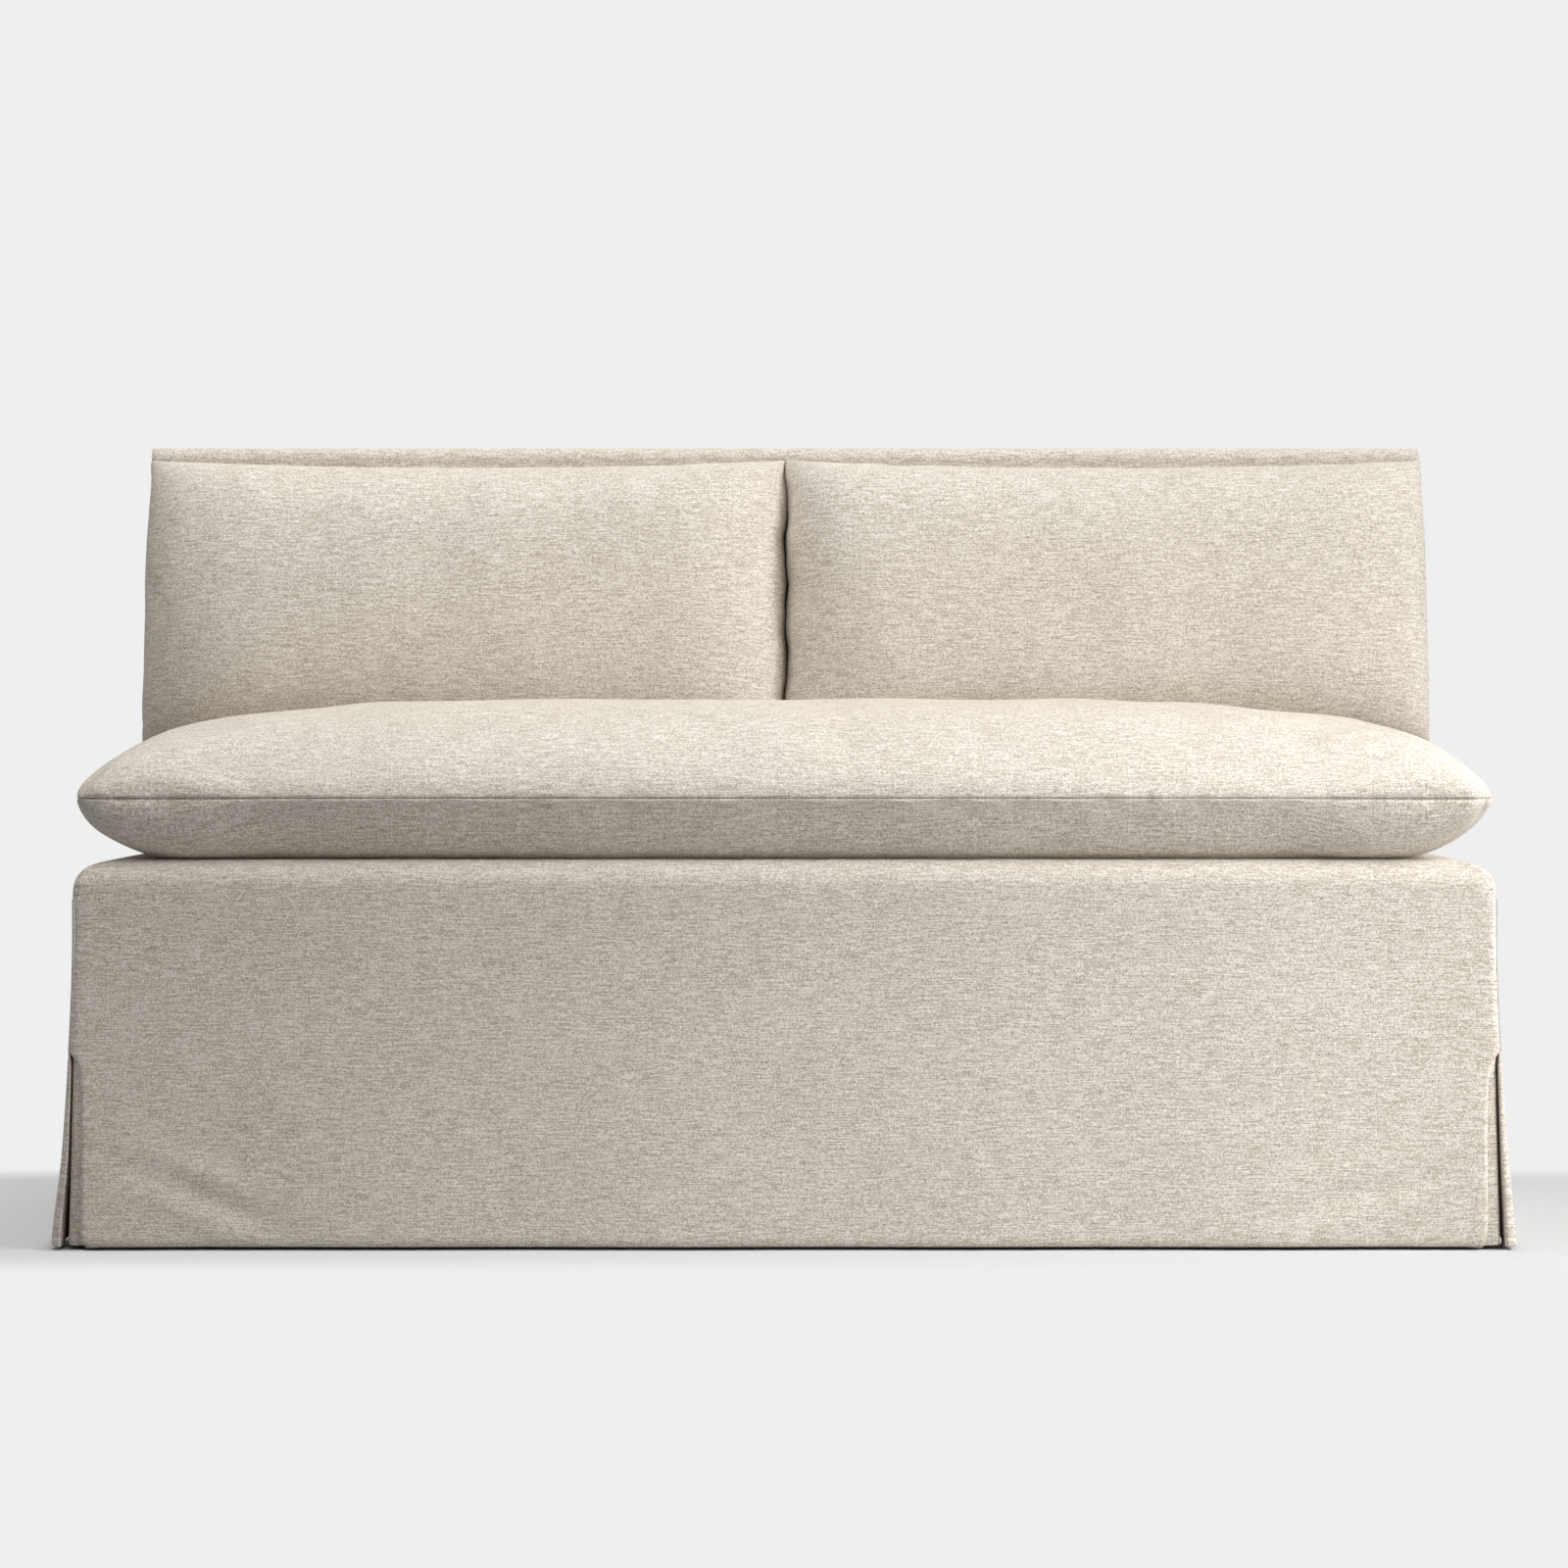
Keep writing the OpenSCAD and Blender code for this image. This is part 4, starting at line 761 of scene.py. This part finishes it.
def inflate(name, points, faces):
    # Blender's cloth, blown up a little from inside; returns how far each point moved, up to the cap
    mesh = bpy.data.meshes.new(name)
    mesh.from_pydata(points.tolist(), [], faces.tolist())
    helper = bpy.data.objects.new(name, mesh)
    bpy.context.scene.collection.objects.link(helper)
    cloth = helper.modifiers.new("cloth", "CLOTH")
    cloth.settings.quality = blowUp["quality"]
    cloth.settings.use_pressure = True
    cloth.settings.uniform_pressure_force = blowUp["pressure"]
    cloth.settings.tension_stiffness = cloth.settings.compression_stiffness = blowUp["stretch"]
    cloth.settings.bending_stiffness = blowUp["bending"]
    cloth.settings.effector_weights.gravity = 0
    cloth.point_cache.frame_start = 1
    cloth.point_cache.frame_end = blowUp["frames"]
    scene = bpy.context.scene
    for step in range(1, blowUp["frames"] + 1):
        scene.frame_set(step)
    evaluated = helper.evaluated_get(bpy.context.evaluated_depsgraph_get())
    moved = np.empty(len(points) * 3, dtype=np.float32)
    evaluated.to_mesh().vertices.foreach_get("co", moved)
    evaluated.to_mesh_clear()
    scene.frame_set(1)
    bpy.data.objects.remove(helper)
    bpy.data.meshes.remove(mesh)
    shift = moved.reshape(-1, 3) - points
    length = np.linalg.norm(shift, axis=1)[:, None]
    return shift * np.minimum(1, blowUp["cap"] / np.maximum(length, 1e-9))


def finer(coarse, shares, wanted):
    # one direction of a grid resampled at the wanted shares by Catmull-Rom curves
    at = np.interp(wanted, shares, np.arange(len(shares)))
    last = len(shares) - 1
    k = np.clip(at.astype(int), 0, last - 1)
    t = (at - k)[:, None, None]
    a, b, c, d = (coarse[np.clip(k + n, 0, last)] for n in (-1, 0, 1, 2))
    return 0.5 * (2 * b + (c - a) * t + (2 * a - 5 * b + 4 * c - d) * t ** 2 + (3 * b - a - 3 * c + d) * t ** 3)


def blurred(grid, passes):
    # repeated averaging with the four neighbours, with the rim held
    for _ in range(passes):
        grid[1:-1, 1:-1] = (grid[1:-1, 1:-1] + 0.25 * (
            grid[:-2, 1:-1] + grid[2:, 1:-1] + grid[1:-1, :-2] + grid[1:-1, 2:])) / 2
    return grid


def addCreases(name, p, upper, lower, lengthU, lengthV):
    # the fine part of the simulated bulging, limited to about 4 mm by a hyperbolic tangent, fading at the seams
    rows, cols = p["rows"], p["cols"]
    shift = inflate(name + "_sim", pillowPoints(upper, lower), pillowFaces(rows, cols)[0])
    moved = splitPillow(shift, rows, cols)
    rimU = (1 - np.abs(np.linspace(-1, 1, cols)))[None, :] * lengthU / 2
    rimV = (1 - np.abs(np.linspace(-1, 1, rows)))[:, None] * lengthV / 2
    fade = smooth(np.minimum(rimU, rimV), 0, 40 * mm)[..., None]
    limit = 4 * mm
    for face, bulge, share in zip((upper, lower), moved, p["wrinkle"]):
        crease = bulge - blurred(bulge.copy(), 60)
        face += share * (limit * np.tanh(crease / limit)) * fade
    print(name, "simulated, largest movement", round(float(np.abs(moved[0]).max()), 4))


def rimShares(count, length):
    # even shares with extra ones close to both ends, where the seam is drawn in
    close = np.array([0.9, 1.9, 3.2, 5.8]) * mm / (length / 2)
    firstEven = 1 - 10 * mm / (length / 2)
    even = np.linspace(-firstEven, firstEven, count - 10)
    return np.concatenate([[-1], -1 + close, even, 1 - close[::-1], [1]])


def clothRelief(alongU, alongV, rimU, rimV, where):
    # how far the cloth stands out of the smooth pillow, at distances rimU and rimV from the seams
    rim = np.minimum(rimU, rimV)
    # slow waves over the faces, and shorter ones that fade away from the seams
    out = 0.9 * mm * ripple(alongU, alongV, 150 * mm, where) * smooth(rim, 0, 60 * mm)
    edgeWave = ripple(alongU, alongV, 60 * mm, where + 5)
    out += 0.5 * mm * edgeWave * np.exp(-rim / (45 * mm)) * smooth(rim, 0, 8 * mm)
    # puckers every 13 mm along the seams
    puckerU = ripple(alongU, 0 * alongU, 13 * mm, where + 9)
    puckerV = ripple(alongV, 0 * alongV, 13 * mm, where + 11)
    pucker = np.where(rimV < rimU, puckerU, puckerV)
    out += 0.35 * mm * pucker * np.exp(-rim / (7 * mm)) * smooth(rim, 0, 3 * mm)
    # creases that fan out from each corner, where the cloth is gathered into the ear
    fromCorner = np.hypot(rimU, rimV)
    fan = np.cos(np.arctan2(rimV, rimU) * 14 + where + 2 * np.sign(alongU) + np.sign(alongV))
    out += 0.6 * mm * fan * smooth(fromCorner, 6 * mm, 30 * mm) * np.exp(-fromCorner / (34 * mm))
    # the seam lies in a narrow valley between the two swollen edges
    swollen = 1.5 * mm * smooth(rim, 0.4 * mm, 3.4 * mm) * np.exp(-rim / (26 * mm))
    out += swollen - 0.5 * mm * np.exp(-(rim / mm) ** 2)
    return out


def cushionPiece(name, point, p, bodyName, nodes, toWorld, seed):
    # a sewn cover: the formula's pillow with simulated creases, resampled finely and given its relief
    us, lengthU = evenShares(point, p["cols"], "u")
    vs, lengthV = evenShares(point, p["rows"], "v")
    u, v = np.meshgrid(us, vs)
    upper, lower = point(u, v, True), point(u, v, False)
    addCreases(name, p, upper, lower, lengthU, lengthV)
    fineU = rimShares(p["fineCols"], lengthU)
    fineV = rimShares(p["fineRows"], lengthV)
    alongU, alongV = np.meshgrid(fineU * lengthU / 2, fineV * lengthV / 2)
    rimU = lengthU / 2 - np.abs(alongU)
    rimV = lengthV / 2 - np.abs(alongV)
    rim = np.minimum(rimU, rimV)
    faces = []
    for number, coarse in enumerate((upper, lower)):
        face = finer(coarse, np.linspace(-1, 1, p["rows"]), fineV)
        face = finer(face.transpose(1, 0, 2), np.linspace(-1, 1, p["cols"]), fineU).transpose(1, 0, 2)
        normal = np.cross(np.gradient(face, axis=1), np.gradient(face, axis=0))
        normal /= np.maximum(np.linalg.norm(normal, axis=2), 1e-12)[..., None]
        if number:
            normal = -normal
        out = clothRelief(alongU, alongV, rimU, rimV, seed + number)
        if number and "midY" in p:  # the seat's underside is flat where it lies on the deck
            out *= np.clip((face[..., 2] - body["deck"]) / (30 * mm), 0, 1)
        faces.append(face + normal * (out * smooth(rim, -1 * mm, 1.5 * mm))[..., None])
    upper, lower = faces
    numbers, corners = pillowFaces(len(fineV), len(fineU))
    uv = np.stack([alongU + seed, alongV + 0.37 * seed], axis=-1).reshape(-1, 2)
    mesh = surfaceMesh(name, toWorld(pillowPoints(upper, lower)), numbers, uv[corners.ravel()])
    paintedSeamShade = mesh.attributes.new("Seam", "FLOAT", "POINT")  # painted shade along the seams, darkest on the seam, nothing a thread away
    seamShadeShare = p["seamShade"] * np.exp(-(rim / (0.9 * mm)) ** 2)[..., None].repeat(3, axis=2)
    paintedSeamShade.data.foreach_set("value", pillowPoints(seamShadeShare, seamShadeShare)[:, 0].astype(np.float32))
    piece = addPiece(name, mesh, linenCloth, bodyName, nodes)


def corePiece(name, point, bodyName, node, toWorld, finish, stuffing):
    # the stuffing: the cushion's formula shape drawn in towards its middle, so that it fills the cover loosely
    us, lengthU = evenShares(point, 60, "u")
    vs, lengthV = evenShares(point, 34, "v")
    u, v = np.meshgrid(us, vs)
    points = pillowPoints(point(u, v, True), point(u, v, False))
    middle = (points.max(axis=0) + points.min(axis=0)) / 2
    half = (points.max(axis=0) - points.min(axis=0)) / 2
    lift = np.array([0, 0, stuffing["lift"]])
    points = middle + (points - middle) * (1 - np.array(stuffing["shrink"]) * mm / half) + lift
    lumps = 0.8 * mm * ripple(points[:, 0], points[:, 1] + points[:, 2], 90 * mm, 61)
    points += lumps[:, None] * (points - middle) / half
    faces, corners = pillowFaces(*u.shape)
    uv = np.stack([u * lengthU / 2, v * lengthV / 2], axis=-1).reshape(-1, 2)
    mesh = surfaceMesh(name, toWorld(points), faces, uv[corners.ravel()])
    piece = addPiece(name, mesh, finish, bodyName, [node])
    smoother = piece.modifiers.new("smoother", "SUBSURF")
    smoother.levels = smoother.render_levels = 1


def seatInPlace(points):
    # the seat's formula already gives its place on the deck
    return points


def backInPlace(side):
    p = backCushion
    lean = leanAngle + p["extraLean"]

    def move(points):
        # leaned back; where the two cushions meet, their seams share one wavy line of two sines
        x, y, z = points.T
        high = p["z"] - y * np.sin(lean) + z * np.cos(lean)
        shift, slow, quick = p["join"]
        wave = shift + slow * np.sin(2 * pi * (high - 0.795) / (90 * mm)) + quick * np.sin(high / (6 * mm))
        inner = np.exp(-(p["halfW"] + side * x) / p["joinReach"])
        outer = np.exp(-(p["halfW"] - side * x) / p["topReach"]) * smooth(z, 20 * mm, 170 * mm)
        return np.stack([side * (p["midX"] - p["topIn"] * outer) + x + wave * inner,
                         p["y"] + y * np.cos(lean) + z * np.sin(lean), high], axis=-1)
    return move


seatCore = {"shrink": (12, 12, 9), "lift": -3 * mm, "fill": 0.9}
backCore = {"shrink": (14, 12, 14), "lift": 0, "fill": 0.7}
cushionPiece("seat_cushion_cloth", seatPoint, seatCushion, "seat_cushion",
             ["seat_cushion_cover"], seatInPlace, 3)
corePiece("seat_cushion_foam", seatPoint, "seat_cushion", "seat_cushion_core", seatInPlace,
          hiddenFinishes["foam"], seatCore)
for (sideName, side), seed in zip(sides, (31, 53)):
    bodyName = f"back_cushion_{sideName}"
    cushionPiece(f"back_cushion_{sideName}_cloth", backPoint, backCushion, bodyName,
                 [f"back_cushion_cover_{sideName}"], backInPlace(side), seed)
    corePiece(f"back_cushion_filling_{sideName}", backPoint, bodyName, f"back_cushion_fill_{sideName}",
              backInPlace(side), hiddenFinishes["wadding"], backCore)
print("cushions ready")

# the floor bounces a little less light than it shows; round the object it fades to the backdrop, first softly
# and then fully, three times sooner in front and behind than at the sides
studio = {
    "backdrop": "#efefef", "bounced": "#b4b4b4", "shown": "#c8c8c8", "floorHalf": 30,
    "keep": (0.778, 0.362, 0), "stretch": (1, 3, 0), "nearFade": (0.03, 0.35), "farFade": (0.1, 0.6),
    "ambient": 0.17,
}


def seenRays(tree):
    # one for rays that show the backdrop, through the lens, a gloss or a clear body
    rays = addNode(tree, "ShaderNodeLightPath").outputs
    seen = addNode(tree, "ShaderNodeMath", {0: rays["Is Camera Ray"], 1: rays["Is Glossy Ray"]},
                   operation="MAXIMUM").outputs[0]
    links = {0: seen, 1: rays["Is Transmission Ray"]}
    return addNode(tree, "ShaderNodeMath", links, operation="MAXIMUM").outputs[0]


def studioFloor():
    # pale painted floor: it keeps the shadow round the object and fades to the backdrop further out
    material, tree = newMaterial("PaintedStudioFloor")
    spot = addNode(tree, "ShaderNodeTexCoord").outputs["Object"]
    camera = addNode(tree, "ShaderNodeLightPath").outputs["Is Camera Ray"]
    tones = {6: linear(studio["bounced"]), 7: linear(studio["shown"])}
    tone = addNode(tree, "ShaderNodeMix", {"Factor": camera}, tones, data_type="RGBA").outputs[2]
    paint = addNode(tree, "ShaderNodeBsdfDiffuse", {"Color": tone}, {"Roughness": 0.5})
    pale = addNode(tree, "ShaderNodeEmission", values={"Color": linear(studio["backdrop"]), "Strength": 1.0})
    # distance outside the kept rectangle
    away = addNode(tree, "ShaderNodeVectorMath", {0: spot}, operation="ABSOLUTE").outputs[0]
    steps = (("SUBTRACT", studio["keep"]), ("MAXIMUM", (0, 0, 0)), ("MULTIPLY", studio["stretch"]))
    for operation, value in steps:
        away = addNode(tree, "ShaderNodeVectorMath", {0: away}, {1: value}, operation=operation).outputs[0]
    reach = addNode(tree, "ShaderNodeVectorMath", {0: away}, operation="LENGTH").outputs["Value"]
    low, high = studio["nearFade"]
    near = addNode(tree, "ShaderNodeMapRange", {"Value": reach}, {"From Max": low, "To Max": high},
                   interpolation_type="SMOOTHSTEP").outputs[0]
    low, high = studio["farFade"]
    links, values = {"Value": reach, "To Min": near}, {"From Min": low, "From Max": high}
    fade = addNode(tree, "ShaderNodeMapRange", links, values, interpolation_type="SMOOTHSTEP").outputs[0]
    shown = addNode(tree, "ShaderNodeMath", {0: fade, 1: seenRays(tree)}, operation="MULTIPLY").outputs[0]
    both = addNode(tree, "ShaderNodeMixShader", {0: shown, 1: paint.outputs[0], 2: pale.outputs[0]})
    addNode(tree, "ShaderNodeOutputMaterial", {"Surface": both.outputs[0]})
    size = studio["floorHalf"]
    mesh = bpy.data.meshes.new("studio_floor")
    corners = [(-size, -size, 0), (size, -size, 0), (size, size, 0), (-size, size, 0)]
    mesh.from_pydata(corners, [], [(0, 1, 2, 3)])
    mesh.materials.append(material)
    plane = bpy.data.objects.new("studio_floor", mesh)
    bpy.context.scene.collection.objects.link(plane)


studioFloor()

# soft lamps: where each stands, what it points at, its width and height in metres, and its power; the low one
# is narrowed to a beam
studioLights = {
    "overhead_left": {"stand": (-0.8, -1.1, 2.7), "aim": (-0.4, -0.3, 0.4), "size": (1.3, 1.2), "power": 14.5},
    "soft_left": {"stand": (-0.7, -0.45, 2.4), "aim": (-0.6, -0.35, 0.4), "size": (1.4, 2.4), "power": 23},
    "right_low": {"stand": (1.9, -1.7, 0.95), "aim": (0.45, -0.345, 0.2), "size": (0.9, 0.8), "power": 3.55,
                  "spread": 50},
    "right_high": {"stand": (2.8, -1.0, 2.2), "aim": (0.1, 0, 0.4), "size": (1.0, 1.0), "power": 75},
    "left_high": {"stand": (-2.6, -0.6, 2.4), "aim": (0, 0, 0.4), "size": (1.4, 1.4), "power": 3.5},
    "rear_soft": {"stand": (0.6, 3.4, 2.4), "aim": (0, 0, 0.4), "size": (2.0, 1.4), "power": 50},
}
for name, lamp in studioLights.items():
    data = bpy.data.lights.new(name, "AREA")
    data.shape = "RECTANGLE"
    data.size, data.size_y = lamp["size"]
    data.energy = lamp["power"]
    data.spread = np.radians(lamp.get("spread", 180))
    light = bpy.data.objects.new(name, data)
    light.location = lamp["stand"]
    light.visible_camera = False
    light.rotation_euler = (Vector(lamp["aim"]) - Vector(lamp["stand"])).to_track_quat("-Z", "Y").to_euler()
    bpy.context.scene.collection.objects.link(light)

world = bpy.data.worlds.new("studio")
bpy.context.scene.world = world
world.use_nodes = True
tree = world.node_tree
tree.nodes.clear()
ambient = addNode(tree, "ShaderNodeBackground",
                  values={"Color": linear("#ffffff"), "Strength": studio["ambient"]})
backdrop = addNode(tree, "ShaderNodeBackground", values={"Color": linear(studio["backdrop"]), "Strength": 1.0})
blend = addNode(tree, "ShaderNodeMixShader", {0: seenRays(tree), 1: ambient.outputs[0], 2: backdrop.outputs[0]})
addNode(tree, "ShaderNodeOutputWorld", {"Surface": blend.outputs[0]})

# a level camera: focal length, horizon and centre in the photograph's pixels; distance from the deck's front,
# place and height in metres
camera = {"focal": 4650, "distance": 4.87, "aside": 0.015, "height": 0.5635, "horizon": 737, "centre": 814.8,
          "image": 1600, "sensor": 36}
lens = bpy.data.cameras.new("photo_camera")
lens.sensor_width = camera["sensor"]
lens.lens = camera["sensor"] * camera["focal"] / camera["image"]
lens.shift_x = (camera["image"] / 2 - camera["centre"]) / camera["image"]
lens.shift_y = (camera["horizon"] - camera["image"] / 2) / camera["image"]
cameraObject = bpy.data.objects.new("photo_camera", lens)
cameraObject.location = (camera["aside"], -body["halfD"] - camera["distance"], camera["height"])
cameraObject.rotation_euler = (pi / 2, 0, 0)
bpy.context.scene.collection.objects.link(cameraObject)
bpy.context.scene.camera = cameraObject
bpy.context.scene.view_settings.view_transform = "Standard"
